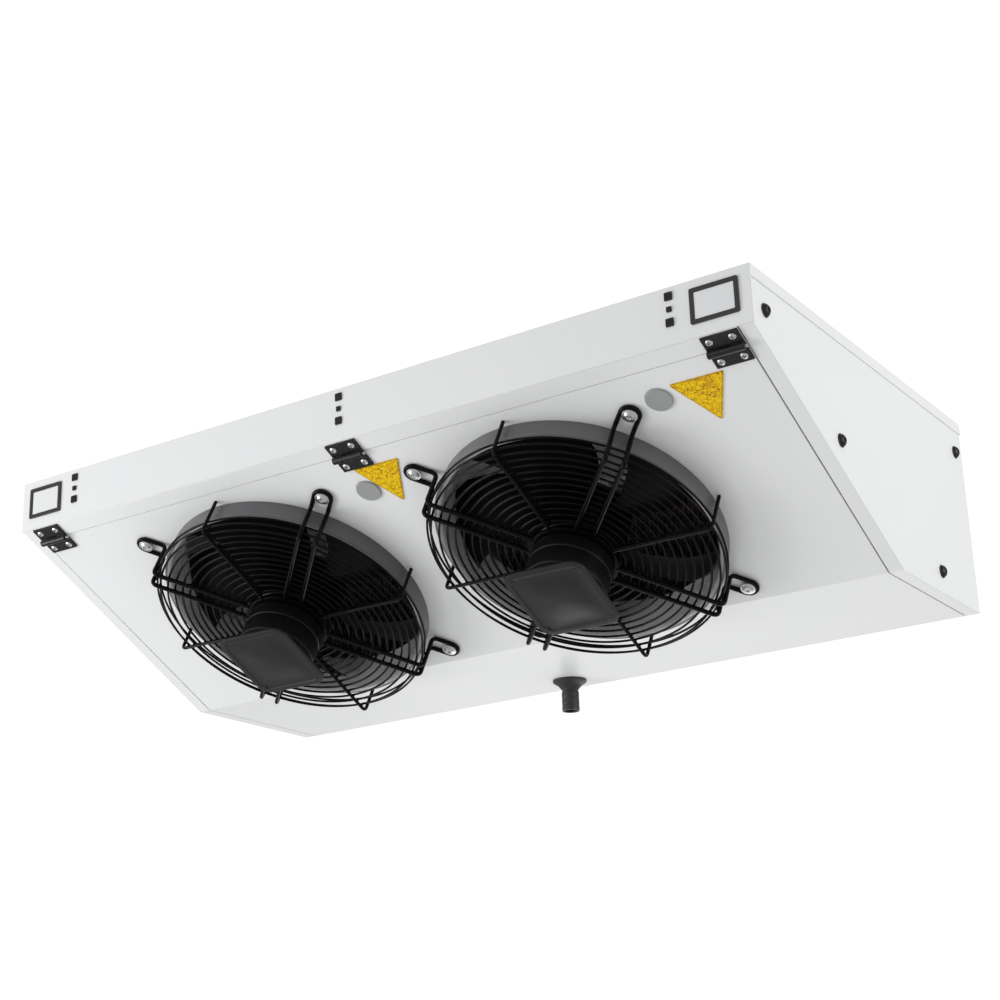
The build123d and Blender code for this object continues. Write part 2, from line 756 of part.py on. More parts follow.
fan_pieces = {
    "shroud": shroud,
    "guard_arms": guard_arms,
    "guard_spokes": guard_spokes,
    "guard_face_rings": guard_face_rings,
    "guard_side_rings": guard_side_rings,
    "guard_hub": guard_hub,
    "motor_body": motor_body,
    "motor_cap": motor_cap,
    "foot_screws": foot_screws,
    "rotor": rotor,
    "impeller": impeller,
}
for side, fan_x in fan_xs.items():
    for piece_name, piece in fan_pieces.items():
        with BuildPart() as placed_piece:
            with Locations(panel_plane(fan_x, fan_down)):
                add(piece.part)
        save(placed_piece.part, f"{piece_name}_{side}")

# ---------------------------------------------------------------- coil
fin_count = int(coil_length / fin_pitch) + 1
fin_first = -(fin_count - 1) * fin_pitch / 2 - fin_sheet / 2
with BuildPart() as coil_fins:
    with BuildSketch(*[Plane.YZ.offset(fin_first + i * fin_pitch) for i in range(fin_count)]):
        with Locations((coil_y, coil_z)):
            Rectangle(fin_depth, fin_height)
        with Locations(*tube_spots):
            Circle(tube_radius + tube_hole_gap, mode=Mode.SUBTRACT)
    extrude(amount=fin_sheet)
save(coil_fins.part, "coil_fins")

sheet_top = -sheet
sheet_bottom = coil_z - fin_height / 2 - tube_sheet_edge
sheet_face = coil_length / 2 + sheet  # inner face of a tube sheet
sheet_width = fin_depth + 2 * tube_sheet_edge
with BuildPart() as tube_sheets:
    for sign in sides.values():
        with BuildSketch(Plane.YZ.offset(sign * sheet_face)):
            with Locations((coil_y, (sheet_top + sheet_bottom) / 2)):
                Rectangle(sheet_width, sheet_top - sheet_bottom)
            with Locations(*tube_spots):
                Circle(tube_radius + tube_hole_gap, mode=Mode.SUBTRACT)
        extrude(amount=sign * sheet)
        with Locations((sign * (sheet_face - tube_sheet_flange / 2), coil_y, sheet_top)):
            Box(
                tube_sheet_flange,
                sheet_width,
                sheet,
                align=(Align.CENTER, Align.CENTER, Align.MAX),
            )
save(tube_sheets.part, "tube_sheets")

with BuildPart() as coil_tubes:
    with BuildSketch(Plane.YZ.offset(-tube_end)):
        with Locations(*tube_spots):
            Circle(tube_radius)
            Circle(tube_radius - tube_wall, mode=Mode.SUBTRACT)
    extrude(amount=2 * tube_end)
save(coil_tubes.part, "coil_tubes")

bend_pairs = [("left", 0), ("left", 2), ("right", 1)]  # end, and the first of the two rows joined
with BuildPart() as return_bends:
    for side, row in bend_pairs:
        sign = sides[side]
        for layer_z in layer_zs:
            with BuildSketch(Plane.YZ.offset(sign * tube_end)):
                with Locations((row_ys[row], layer_z)):
                    Circle(tube_radius)
                    Circle(tube_radius - tube_wall, mode=Mode.SUBTRACT)
            centre = (sign * tube_end, row_ys[row] + row_pitch / 2, layer_z)
            revolve(axis=Axis(centre, (0, 0, sign)), revolution_arc=180)
save(return_bends.part, "return_bends")


def manifold(x, row_y, pipe_radius, stub_radius, stub_z):
    """Upright pipe joining one row's tube ends, with a stub that leaves towards the rear."""
    with BuildPart() as pipes:
        for thinner, mode in ((0.0, Mode.ADD), (tube_wall, Mode.SUBTRACT)):
            with Locations((x, row_y, coil_z)):
                Cylinder(
                    pipe_radius - thinner,
                    (tube_layers - 1) * layer_pitch + 2 * (header_overrun - thinner),
                    mode=mode,
                )
            with BuildSketch(Plane.YZ.offset(tube_end)):
                with Locations(*[(row_y, z) for z in layer_zs]):
                    Circle(tube_radius - feeder_step - thinner)
            extrude(amount=x - tube_end, mode=mode)
            for step, from_y in ((stub_step, row_y), (0.0, y_rear - stub_inset - stub_grip)):
                with BuildSketch(Plane.XZ.offset(-from_y)):
                    with Locations((x, stub_z)):
                        Circle(stub_radius - step - thinner)
                extrude(amount=-(y_rear - stub_inset - from_y), mode=mode)
    return pipes.part


suction_z = (layer_zs[0] + layer_zs[1]) / 2
liquid_z = (layer_zs[2] + layer_zs[3]) / 2
with BuildPart() as suction_header:
    add(manifold(header_x, row_ys[0], header_radius, suction_radius, suction_z))
save(suction_header.part, "suction_header")

with BuildPart() as liquid_manifold_pipe:
    add(manifold(liquid_x, row_ys[-1], liquid_radius, liquid_manifold, liquid_z))
save(liquid_manifold_pipe.part, "liquid_manifold")

# ---------------------------------------------------------------- electrical box, left end
box_x = -(bracket_face - bracket_sheet - fit_gap - box_width / 2)
box_top = -sheet - box_drop
with BuildPart() as terminal_box:
    with Locations((box_x, box_y, box_top)):
        Box(box_width, box_length, box_height, align=(Align.CENTER, Align.CENTER, Align.MAX))
    with Locations((box_x, box_y, box_top - box_wall)):
        Box(
            box_width - 2 * box_wall,
            box_length - 2 * box_wall,
            box_height,
            align=(Align.CENTER, Align.CENTER, Align.MAX),
            mode=Mode.SUBTRACT,
        )
    with BuildSketch(Plane.XZ.offset(-box_y)):
        with Locations((box_x, box_top - box_height / 2)):
            Circle(gland_thread + screw_gap)
    extrude(amount=-box_length, mode=Mode.SUBTRACT)
save(terminal_box.part, "terminal_box")

with BuildPart() as terminal_lid:
    with Locations((box_x, box_y, box_top - box_height)):
        Box(box_width, box_length, lid_sheet, align=(Align.CENTER, Align.CENTER, Align.MAX))
    with Locations((box_x, box_y, box_top - box_height)):
        Box(
            box_width - 2 * box_wall - 2 * fit_gap,
            box_length - 2 * box_wall - 2 * fit_gap,
            box_wall,
            align=(Align.CENTER, Align.CENTER, Align.MIN),
        )
save(terminal_lid.part, "terminal_lid")

gland_y = box_y + box_length / 2
with BuildPart() as cable_gland:
    with BuildSketch(Plane.XZ.offset(-gland_y)):
        with Locations((box_x, box_top - box_height / 2)):
            RegularPolygon(gland_hex, 6)
    extrude(amount=-gland_length / 2)
    with BuildSketch(Plane.XZ.offset(-gland_y - gland_length / 2)):
        with Locations((box_x, box_top - box_height / 2)):
            Circle(gland_dome)
    extrude(amount=-gland_length / 2)
    with BuildSketch(Plane.XZ.offset(-gland_y)):
        with Locations((box_x, box_top - box_height / 2)):
            Circle(gland_thread)
    extrude(amount=gland_inside)
    with BuildSketch(Plane.XZ.offset(-gland_y)):
        with Locations((box_x, box_top - box_height / 2)):
            Circle(gland_bore)
    extrude(amount=gland_length, both=True, mode=Mode.SUBTRACT)
save(cable_gland.part, "cable_gland")
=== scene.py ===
# %% [markdown]
# # A unit cooler for a cold room
# The cooler hangs under a ceiling and is seen from below. Its white casing, its coil and its brackets
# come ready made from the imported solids. This lesson gives them their finishes, and builds the wire
# guards, fans, motors, fins and screws as finer surfaces that ride on the same bodies.

# %% Load the frame
import json
import math

import bmesh
import bpy
import numpy as np
from mathutils import Matrix, Vector


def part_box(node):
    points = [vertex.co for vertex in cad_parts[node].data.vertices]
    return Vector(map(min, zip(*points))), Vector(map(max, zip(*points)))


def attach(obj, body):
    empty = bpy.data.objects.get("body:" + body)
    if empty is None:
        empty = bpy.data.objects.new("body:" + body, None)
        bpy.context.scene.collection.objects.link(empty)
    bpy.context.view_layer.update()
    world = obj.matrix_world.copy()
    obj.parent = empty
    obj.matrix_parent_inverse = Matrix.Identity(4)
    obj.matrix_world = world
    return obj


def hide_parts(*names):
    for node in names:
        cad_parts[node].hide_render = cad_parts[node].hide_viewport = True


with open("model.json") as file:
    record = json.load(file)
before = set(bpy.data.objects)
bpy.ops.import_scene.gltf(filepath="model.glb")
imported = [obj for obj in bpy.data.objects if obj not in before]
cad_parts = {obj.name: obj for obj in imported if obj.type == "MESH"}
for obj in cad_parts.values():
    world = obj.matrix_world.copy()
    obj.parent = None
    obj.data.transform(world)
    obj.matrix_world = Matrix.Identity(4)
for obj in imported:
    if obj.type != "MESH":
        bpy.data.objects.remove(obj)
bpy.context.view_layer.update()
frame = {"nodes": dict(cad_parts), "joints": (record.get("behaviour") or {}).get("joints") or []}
MM = 0.001
TURN = 2 * math.pi
SIDES = ("left", "right")

# %% [markdown]
# ## Surfaces from numbers
# Every new piece is a grid of points: two parameters run over the surface, and each point is worked out
# from them for the whole grid at once. A helper joins neighbouring points into four-sided faces, and
# another one turns the arrays into a mesh, closes its seams and points its faces outwards. Ready-made
# cylinders and cubes would need many cuts and joints to reach the same shapes, and leave faces inside.


# %% Grids, turned shapes and drawn wires
def surface(points, wrap_u=False, wrap_v=False):
    """Vertices and four-sided faces of a grid of points with rows u and columns v.

    Wrapping joins the last row or column to the first one, so that the surface closes on itself.
    """
    rows, columns = points.shape[:2]
    index = np.arange(rows * columns).reshape(rows, columns)
    if wrap_u:
        index = np.vstack([index, index[:1]])
    if wrap_v:
        index = np.hstack([index, index[:, :1]])
    faces = np.stack([index[:-1, :-1], index[1:, :-1], index[1:, 1:], index[:-1, 1:]], axis=-1)
    return points.reshape(-1, 3), faces.reshape(-1, 4)


def softened(corners, reach, steps=5):
    """A line whose inner corners are short curves: each starts and ends `reach` away from its corner.

    A curve is (1-t)^2 A + 2t(1-t) P + t^2 B, with P the corner, and A and B the curve's own two ends.
    """
    corners = np.asarray(corners, float)
    reach = np.broadcast_to(np.asarray(reach, float), len(corners))[1:-1, None]
    before = corners[:-2] - corners[1:-1]
    after = corners[2:] - corners[1:-1]
    start = corners[1:-1] + before / np.linalg.norm(before, axis=1, keepdims=True) * reach
    end = corners[1:-1] + after / np.linalg.norm(after, axis=1, keepdims=True) * reach
    t = np.linspace(0, 1, steps)[None, :, None]
    curve = (1 - t) ** 2 * start[:, None] + 2 * t * (1 - t) * corners[1:-1, None] + t**2 * end[:, None]
    inner = curve.reshape(-1, corners.shape[1])
    return np.vstack([corners[:1], inner, corners[-1:]])


def turned(profile, steps=96):
    """A turned shape: each (radius, height) of the profile goes to (radius cos a, radius sin a, height)."""
    profile = np.asarray(profile, float)
    angle = np.linspace(0, TURN, steps, endpoint=False)[:, None]
    points = np.stack(
        [
            np.cos(angle) * profile[:, 0],
            np.sin(angle) * profile[:, 0],
            np.broadcast_to(profile[:, 1], (steps, len(profile))),
        ],
        axis=-1,
    )
    return surface(points, wrap_u=True)


def closed_ring(profile, steps=128):
    """A turned shape whose profile is itself a loop, such as a rolled collar."""
    profile = np.asarray(profile, float)
    return turned(np.vstack([profile, profile[:1]]), steps)


def drawn_wire(path, side, radius, sides=10, loop=False):
    """A round wire along a path: at each station a circle lies square to the path.

    `side` is a direction beside the path at each station. The circle's axes are that direction, made
    square to the path, and their cross product with the path. Open ends close onto their own middle.
    """
    path = np.asarray(path, float)
    side = np.broadcast_to(np.asarray(side, float), path.shape)
    if loop:
        along = np.roll(path, -1, axis=0) - np.roll(path, 1, axis=0)
    else:
        along = np.gradient(path, axis=0)
    along = along / np.linalg.norm(along, axis=1, keepdims=True)
    first = side - (side * along).sum(1, keepdims=True) * along
    first = first / np.linalg.norm(first, axis=1, keepdims=True)
    second = np.cross(along, first)
    angle = np.linspace(0, TURN, sides, endpoint=False)[None, :, None]
    circle = np.cos(angle) * first[:, None] + np.sin(angle) * second[:, None]
    points = path[:, None] + radius * circle
    if not loop:
        start = np.broadcast_to(path[:1, None], (1, sides, 3))
        end = np.broadcast_to(path[-1:, None], (1, sides, 3))
        points = np.concatenate([start, points, end])
    return surface(points, wrap_u=loop, wrap_v=True)


def repeated(shape, places):
    """Copies of one shape: `places` is a stack of 3 by 4 matrices, each a turn and a shift."""
    vertices, faces = shape
    places = np.asarray(places, float)
    copies = np.einsum("nij,vj->nvi", places[:, :, :3], vertices) + places[:, None, :, 3]
    shift = (np.arange(len(places)) * len(vertices))[:, None, None]
    return copies.reshape(-1, 3), (faces[None] + shift).reshape(-1, 4)


def about_z(angles, offset=(0, 0, 0)):
    """Matrices that shift a shape by `offset` and then turn it about Z by each angle, in degrees."""
    angle = np.radians(np.asarray(angles, float))
    zero, one = np.zeros_like(angle), np.ones_like(angle)
    cos, sin = np.cos(angle), np.sin(angle)
    turn = np.stack(
        [
            np.stack([cos, -sin, zero], -1),
            np.stack([sin, cos, zero], -1),
            np.stack([zero, zero, one], -1),
        ],
        axis=1,
    )
    shift = turn @ np.asarray(offset, float)
    return np.concatenate([turn, shift[:, :, None]], axis=2)


def together(shapes):
    """Several shapes as one list of vertices and one of faces."""
    counts = np.cumsum([0] + [len(vertices) for vertices, _ in shapes[:-1]])
    faces = [part + count for (_, part), count in zip(shapes, counts)]
    return np.vstack([vertices for vertices, _ in shapes]), np.vstack(faces)


print("surface helpers ready")

# %% From arrays to a piece that rides on a body
SEAM = 2e-6  # points closer than this, in metres, become one


def piece(name, shapes, body, material, replaces=(), crease=35.0):
    """Makes a new piece from shapes in millimetres, closes its seams and rides it on a body.

    Edges that turn by more than `crease` degrees stay sharp. `replaces` names the solids it stands for.
    """
    vertices, faces = together(shapes)
    mesh = bpy.data.meshes.new(name)
    mesh.from_pydata((vertices * MM).tolist(), [], faces.tolist())
    work = bmesh.new()
    work.from_mesh(mesh)
    bmesh.ops.remove_doubles(work, verts=work.verts, dist=SEAM)
    bmesh.ops.recalc_face_normals(work, faces=work.faces)
    work.to_mesh(mesh)
    work.free()
    mesh.polygons.foreach_set("use_smooth", np.ones(len(mesh.polygons), bool))
    mesh.set_sharp_from_angle(angle=math.radians(crease))
    mesh.materials.append(material)
    made = bpy.data.objects.new(name, mesh)
    bpy.context.scene.collection.objects.link(made)
    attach(made, body)
    if replaces:
        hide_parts(*replaces)
    print(name, len(mesh.polygons), "faces on", body)


print("piece maker ready")

# %% [markdown]
# ## Shared effects
# Real finishes are never even. Paint has a fine orange-peel skin, edges catch a little more light and
# wear first, and large faces carry faint marks from handling. The lighter edge colour is partly wear and
# partly a painted highlight. Each effect is a small node group with named sockets, so that every material
# can use it with its own strength.


# %% Node helpers
def add(tree, kind, settings=None, **values):
    """Adds a node, sets its options, and fills or links its inputs by name, or by number as in i0."""
    made = tree.nodes.new(kind)
    for option, value in (settings or {}).items():
        setattr(made, option, value)
    for key, value in values.items():
        socket = made.inputs[int(key[1:])] if key[0] == "i" and key[1:].isdigit() else None
        socket = socket or made.inputs[key.replace("_", " ")]
        if isinstance(value, bpy.types.NodeSocket):
            tree.links.new(value, socket)
        else:
            socket.default_value = value
    return made


def new_group(name, inputs, outputs):
    """An empty shader group with its sockets; inputs are (name, kind, default)."""
    tree = bpy.data.node_groups.new(name, "ShaderNodeTree")
    for label, kind, default in inputs:
        socket = tree.interface.new_socket(label, in_out="INPUT", socket_type="NodeSocket" + kind)
        if default is not None:
            socket.default_value = default
    for label, kind in outputs:
        tree.interface.new_socket(label, in_out="OUTPUT", socket_type="NodeSocket" + kind)
    return tree, tree.nodes.new("NodeGroupInput"), tree.nodes.new("NodeGroupOutput")


def blend_colours(tree, factor, first, second):
    """Mixes two colours by a factor."""
    mixed = add(tree, "ShaderNodeMix", {"data_type": "RGBA"}, i0=factor, i6=first, i7=second)
    return mixed.outputs[2]


def calculate(tree, operation, first, second=0.0, clamp=False):
    """One maths node."""
    settings = {"operation": operation, "use_clamp": clamp}
    return add(tree, "ShaderNodeMath", settings, i0=first, i1=second).outputs[0]


print("node helpers ready")

# %% Edges: where two faces meet, the rounded normal leaves the flat one
edge_group, group_in, group_out = new_group(
    "soft_edges",
    [("Radius", "Float", 0.001), ("Strength", "Float", 1.0), ("Vector", "Vector", None)],
    [("Mask", "Float"), ("Normal", "Vector")],
)
rounded = add(edge_group, "ShaderNodeBevel", {"samples": 4}, Radius=group_in.outputs["Radius"])
flat = add(edge_group, "ShaderNodeNewGeometry")
agree = add(
    edge_group,
    "ShaderNodeVectorMath",
    {"operation": "DOT_PRODUCT"},
    i0=rounded.outputs[0],
    i1=flat.outputs["Normal"],
)
apart = calculate(edge_group, "SUBTRACT", 1.0, agree.outputs["Value"])
broken = add(edge_group, "ShaderNodeTexNoise", Vector=group_in.outputs["Vector"], Scale=160.0)
uneven = calculate(edge_group, "MULTIPLY", apart, broken.outputs[0])
strong = calculate(edge_group, "MULTIPLY", uneven, group_in.outputs["Strength"], clamp=True)
edge_group.links.new(strong, group_out.inputs["Mask"])
edge_group.links.new(rounded.outputs[0], group_out.inputs["Normal"])
print("group", edge_group.name)

# %% Grain: a fine skin, and a slow change of tone over the whole face
grain_group, group_in, group_out = new_group(
    "grain",
    [("Vector", "Vector", None), ("Scale", "Float", 400.0)],
    [("Height", "Float"), ("Tone", "Float")],
)
fine = add(
    grain_group,
    "ShaderNodeTexNoise",
    Vector=group_in.outputs["Vector"],
    Scale=group_in.outputs["Scale"],
    Detail=3.0,
    Roughness=0.55,
)
slow = add(
    grain_group,
    "ShaderNodeTexNoise",
    Vector=group_in.outputs["Vector"],
    Scale=5.0,
    Detail=4.0,
    Distortion=0.6,
)
grain_group.links.new(fine.outputs[0], group_out.inputs["Height"])
grain_group.links.new(slow.outputs[0], group_out.inputs["Tone"])
print("group", grain_group.name)

# %% Handling marks: thin smears and specks that change the gloss
marks_group, group_in, group_out = new_group(
    "handling_marks", [("Vector", "Vector", None), ("Amount", "Float", 0.5)], [("Mask", "Float")]
)
drawn = add(
    marks_group, "ShaderNodeMapping", Vector=group_in.outputs["Vector"], Scale=(9.0, 30.0, 22.0)
)
smear = add(
    marks_group, "ShaderNodeTexNoise", Vector=drawn.outputs[0], Scale=1.0, Detail=6.0, Distortion=1.2
)
speck = add(marks_group, "ShaderNodeTexNoise", Vector=group_in.outputs["Vector"], Scale=90.0, Detail=2.0)
thin = add(marks_group, "ShaderNodeMapRange", Value=smear.outputs[0], i1=0.45, i2=0.8)
few = add(marks_group, "ShaderNodeMapRange", Value=speck.outputs[0], i1=0.62, i2=0.8)
both = calculate(marks_group, "MAXIMUM", thin.outputs[0], few.outputs[0])
scaled = calculate(marks_group, "MULTIPLY", both, group_in.outputs["Amount"], clamp=True)
marks_group.links.new(scaled, group_out.inputs["Mask"])
print("group", marks_group.name)

# %% [markdown]
# ## Finishes
# Most finishes here are one recipe with other numbers: a colour and a slightly different second colour,
# a skin of a given size and depth, an edge colour, and marks that change the gloss. The recipe keeps the
# Principled shader in the material itself and sets what never changes straight on its sockets.


# %% The common recipe
def finish(
    name,
    colour,
    second,
    roughness,
    metallic=0.0,
    grain=400.0,
    depth=0.02,
    edge=None,
    edge_strength=6.0,
    edge_radius=0.8,
    marks=0.5,
    coat=0.0,
    specular=0.5,
):
    """A painted, moulded or bare surface; depth and edge_radius are in millimetres."""
    material = bpy.data.materials.new(name)
    material.use_nodes = True
    tree = material.node_tree
    shader = tree.nodes["Principled BSDF"]
    place = add(tree, "ShaderNodeTexCoord").outputs["Object"]
    skin = add(tree, "ShaderNodeGroup", {"node_tree": grain_group}, Vector=place, Scale=grain)
    edge_tint_and_highlight = add(
        tree,
        "ShaderNodeGroup",
        {"node_tree": edge_group},
        Vector=place,
        Radius=edge_radius * MM,
        Strength=edge_strength,
    )
    used = add(tree, "ShaderNodeGroup", {"node_tree": marks_group}, Vector=place, Amount=marks)
    tint = blend_colours(tree, skin.outputs["Tone"], (*colour, 1), (*second, 1))
    # The edge colour is partly wear, and on most finishes partly a painted highlight that makes the edges
    # lighter.
    if edge is not None:
        tint = blend_colours(tree, edge_tint_and_highlight.outputs["Mask"], tint, (*edge, 1))
    gloss = add(
        tree,
        "ShaderNodeMapRange",
        Value=used.outputs["Mask"],
        i3=roughness,
        i4=min(roughness + 0.22, 0.95),
    )
    relief = add(
        tree,
        "ShaderNodeBump",
        Height=skin.outputs["Height"],
        Distance=depth * MM,
        Strength=1.0,
        Normal=edge_tint_and_highlight.outputs["Normal"],
    )
    tree.links.new(tint, shader.inputs["Base Color"])
    tree.links.new(gloss.outputs[0], shader.inputs["Roughness"])
    tree.links.new(relief.outputs[0], shader.inputs["Normal"])
    shader.inputs["Metallic"].default_value = metallic
    shader.inputs["Coat Weight"].default_value = coat
    shader.inputs["Specular IOR Level"].default_value = specular
    return material


white_paint = finish(
    "white_powder_coat", (0.86, 0.865, 0.87), (0.82, 0.83, 0.84), 0.34,
    grain=520.0, depth=0.03, edge=(0.93, 0.93, 0.93), edge_strength=3.0, marks=0.35, coat=0.15,
)
window_white = finish(
    "window_white", (0.83, 0.84, 0.85), (0.79, 0.80, 0.81), 0.25, grain=900.0, depth=0.01, marks=0.4
)
black_enamel = finish(
    "black_enamel", (0.006, 0.006, 0.007), (0.012, 0.012, 0.013), 0.28,
    grain=700.0, depth=0.02, edge=(0.06, 0.06, 0.065), edge_radius=0.5, specular=0.3,
)
wire_enamel = finish(
    "wire_enamel", (0.002, 0.002, 0.0022), (0.004, 0.004, 0.0045), 0.16,
    grain=900.0, depth=0.03, edge_radius=0.3, marks=0.4, specular=0.1,
)
motor_paint = finish(
    "motor_paint", (0.003, 0.003, 0.0035), (0.007, 0.007, 0.008), 0.32,
    grain=260.0, depth=0.08, edge=(0.03, 0.03, 0.032), marks=0.5, specular=0.18,
)
plate_paint = finish(
    "end_plate_paint", (0.016, 0.016, 0.017), (0.024, 0.024, 0.026), 0.4,
    grain=420.0, depth=0.05, edge=(0.08, 0.08, 0.085), marks=0.5, specular=0.2,
)
blade_plastic = finish(
    "blade_plastic", (0.002, 0.002, 0.0022), (0.004, 0.004, 0.0045), 0.4,
    grain=300.0, depth=0.05, edge=(0.012, 0.012, 0.013), marks=0.6, specular=0.04,
)
# Darker than the throat as painted shade on the collar's outer wall; the light edge colour is a painted
# highlight along its rim.
collar_plastic_painted_shade = finish(
    "collar_plastic_painted_shade", (0.14, 0.142, 0.145), (0.085, 0.087, 0.09), 0.36,
    grain=350.0, depth=0.05, edge=(0.62, 0.62, 0.63), edge_radius=1.6, edge_strength=7.0, marks=0.6,
)
# Paler than the collar as painted light on the inner wall of the same plastic; the light edge colour is a
# painted highlight on the lip.
throat_plastic_painted_light = finish(
    "throat_plastic_painted_light", (0.62, 0.625, 0.63), (0.44, 0.445, 0.45), 0.24,
    grain=350.0, depth=0.05, edge=(0.8, 0.8, 0.8), edge_radius=1.0, marks=0.6, coat=0.3,
)
black_plastic = finish(
    "black_plastic", (0.014, 0.014, 0.015), (0.022, 0.022, 0.024), 0.4,
    grain=500.0, depth=0.04, edge=(0.07, 0.07, 0.075), marks=0.5,
)
plug_plastic = finish(
    "plug_plastic", (0.37, 0.38, 0.38), (0.29, 0.30, 0.30), 0.5, grain=500.0, depth=0.04, marks=0.5
)
box_plastic = finish(
    "box_plastic", (0.42, 0.43, 0.44), (0.37, 0.38, 0.39), 0.45, grain=300.0, depth=0.06, marks=0.4
)
zinc = finish(
    "zinc_plate", (0.62, 0.63, 0.62), (0.50, 0.51, 0.52), 0.3, metallic=1.0,
    grain=800.0, depth=0.02, edge=(0.8, 0.8, 0.8), marks=0.6,
)
pin_steel = finish(
    "pin_steel", (0.45, 0.45, 0.46), (0.34, 0.34, 0.35), 0.32, metallic=1.0, grain=900.0, marks=0.6
)
print(len(bpy.data.materials), "materials so far")

# %% [markdown]
# ## Galvanised sheet, aluminium fins and copper
# The inner brackets are hot-dip galvanised, so the zinc has frozen in flat crystals. Each crystal is a
# cell of a Voronoi pattern with its own tone. Fins are bare aluminium, drawn in one direction. Copper
# dulls to brown where it was handled or heated. These three start from the recipe and change its colour.


# %% Bare metals
def recolour(material, low, high, stretch=(1, 1, 1), **noise):
    """Puts a noise pattern's two colours in place of the recipe's even tone."""
    tree = material.node_tree
    shader = tree.nodes["Principled BSDF"]
    place = add(tree, "ShaderNodeTexCoord").outputs["Object"]
    mapped = add(tree, "ShaderNodeMapping", Vector=place, Scale=stretch)
    pattern = add(tree, "ShaderNodeTexNoise", Vector=mapped.outputs[0], **noise)
    spread = add(tree, "ShaderNodeMapRange", Value=pattern.outputs[0], i1=0.25, i2=0.75)
    colours = blend_colours(tree, spread.outputs[0], (*low, 1), (*high, 1))
    tree.links.new(colours, shader.inputs["Base Color"])
    return material


galvanised = finish(
    "galvanised_sheet", (0.55, 0.57, 0.58), (0.48, 0.5, 0.51), 0.42, metallic=0.9, grain=120.0, depth=0.02
)
crystals = galvanised.node_tree
crystal_place = add(crystals, "ShaderNodeTexCoord").outputs["Object"]
crystal_cells = add(crystals, "ShaderNodeTexVoronoi", Vector=crystal_place, Scale=110.0)
cell_tone = add(crystals, "ShaderNodeSeparateColor", Color=crystal_cells.outputs["Color"])
crystal_colour = blend_colours(
    crystals, cell_tone.outputs[0], (0.44, 0.46, 0.48, 1), (0.66, 0.68, 0.69, 1)
)
crystals.links.new(crystal_colour, crystals.nodes["Principled BSDF"].inputs["Base Color"])
aluminium = recolour(
    finish("fin_aluminium", (0.7, 0.71, 0.72), (0.6, 0.61, 0.62), 0.36, metallic=1.0, grain=600.0),
    low=(0.55, 0.56, 0.57), high=(0.8, 0.81, 0.82), stretch=(40.0, 60.0, 900.0), Scale=1.0, Detail=4.0,
)
copper = recolour(
    finish("drawn_copper", (0.7, 0.36, 0.2), (0.5, 0.24, 0.14), 0.33, metallic=1.0, grain=500.0),
    low=(0.30, 0.14, 0.08), high=(0.78, 0.42, 0.26), Scale=26.0, Detail=6.0, Distortion=0.8,
)
print("bare metals:", galvanised.name, aluminium.name, copper.name)

# %% [markdown]
# ## The blank yellow tags
# Two triangular plastic tags are fixed by the fans. They carry nothing: their yellow is uneven, amber
# in blotches and along the rim, with fine brown lines that are painted shade of creases. Blotches and
# crease lines come from warped noise: a line lies where the noise crosses one half. The rim is the edge
# group with a wide radius.

# %% Tag finish
tag_yellow = finish(
    "tag_yellow", (1.0, 0.70, 0.0), (0.95, 0.56, 0.0), 0.3,
    grain=300.0, depth=0.12, edge=(0.42, 0.17, 0.003), edge_radius=3.0, edge_strength=12.0, marks=0.7,
    specular=0.2,
)
blotched = tag_yellow.node_tree
blotch_place = add(blotched, "ShaderNodeTexCoord").outputs["Object"]
blotches = add(blotched, "ShaderNodeTexNoise", Vector=blotch_place, Scale=85.0, Detail=3.0, Distortion=1.5)
blotch_mask = add(blotched, "ShaderNodeMapRange", Value=blotches.outputs[0], i1=0.56, i2=0.64, i4=0.85)
shader_colour = blotched.nodes["Principled BSDF"].inputs["Base Color"]
plain_yellow = shader_colour.links[0].from_socket
mottled = blend_colours(blotched, blotch_mask.outputs[0], plain_yellow, (0.70, 0.34, 0.006, 1))
# The brown crease lines are painted shade: the tag itself is flat.
creases = add(blotched, "ShaderNodeTexNoise", Vector=blotch_place, Scale=150.0, Detail=2.0, Distortion=2.0)
off_crease = calculate(blotched, "ABSOLUTE", calculate(blotched, "SUBTRACT", creases.outputs[0], 0.5))
painted_crease_shade_mask = add(blotched, "ShaderNodeMapRange", Value=off_crease, i1=0.008, i2=0.04, i3=0.95, i4=0.0)
mottled = blend_colours(blotched, painted_crease_shade_mask.outputs[0], mottled, (0.16, 0.045, 0.002, 1))
blotched.links.new(mottled, shader_colour)
print("tag finish", tag_yellow.name)

# %% [markdown]
# ## Finishes for the ready-made solids
# The sheet metal, hinges, windows, tags, plugs, copper tubes and the terminal box have their final
# shape already. Each keeps its mesh, and only its material slot is filled, by name. One list for each
# finish shows at a glance what is painted, galvanised or bare.

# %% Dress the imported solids
dressed = {
    white_paint: [
        "top_cover", "hinge_rail", "end_cover_left", "end_cover_right", "fan_panel", "tray_back",
    ],
    galvanised: [
        "end_frame_left", "end_frame_right", "hanger_bracket_left", "hanger_bracket_right", "tube_sheets",
    ],
    black_enamel: ["band_rivets", "hinge_leaves_fixed", "hinge_leaves_moving"],
    black_plastic: ["window_frames", "cable_gland", "drain_nut"],
    window_white: ["window_covers"],
    pin_steel: ["hinge_pins"],
    copper: ["coil_tubes", "return_bends", "suction_header", "liquid_manifold"],
    box_plastic: ["terminal_box", "terminal_lid"],
    tag_yellow: ["blank_tags"],
    plug_plastic: ["panel_plugs"],
}
for material, names in dressed.items():
    for name in names:
        mesh = frame["nodes"][name].data
        mesh.materials.clear()
        mesh.materials.append(material)
print(sum(len(names) for names in dressed.values()), "solids dressed")

# %% [markdown]
# ## Where each fan sits
# A fan's joint gives its centre on the slanted panel and its axis out of the panel. With X along the
# casing, that is a whole set of axes. Each fan piece is made once about +Z and laid into both places,
# so the two fans are the same, and a change to one is a change to both.

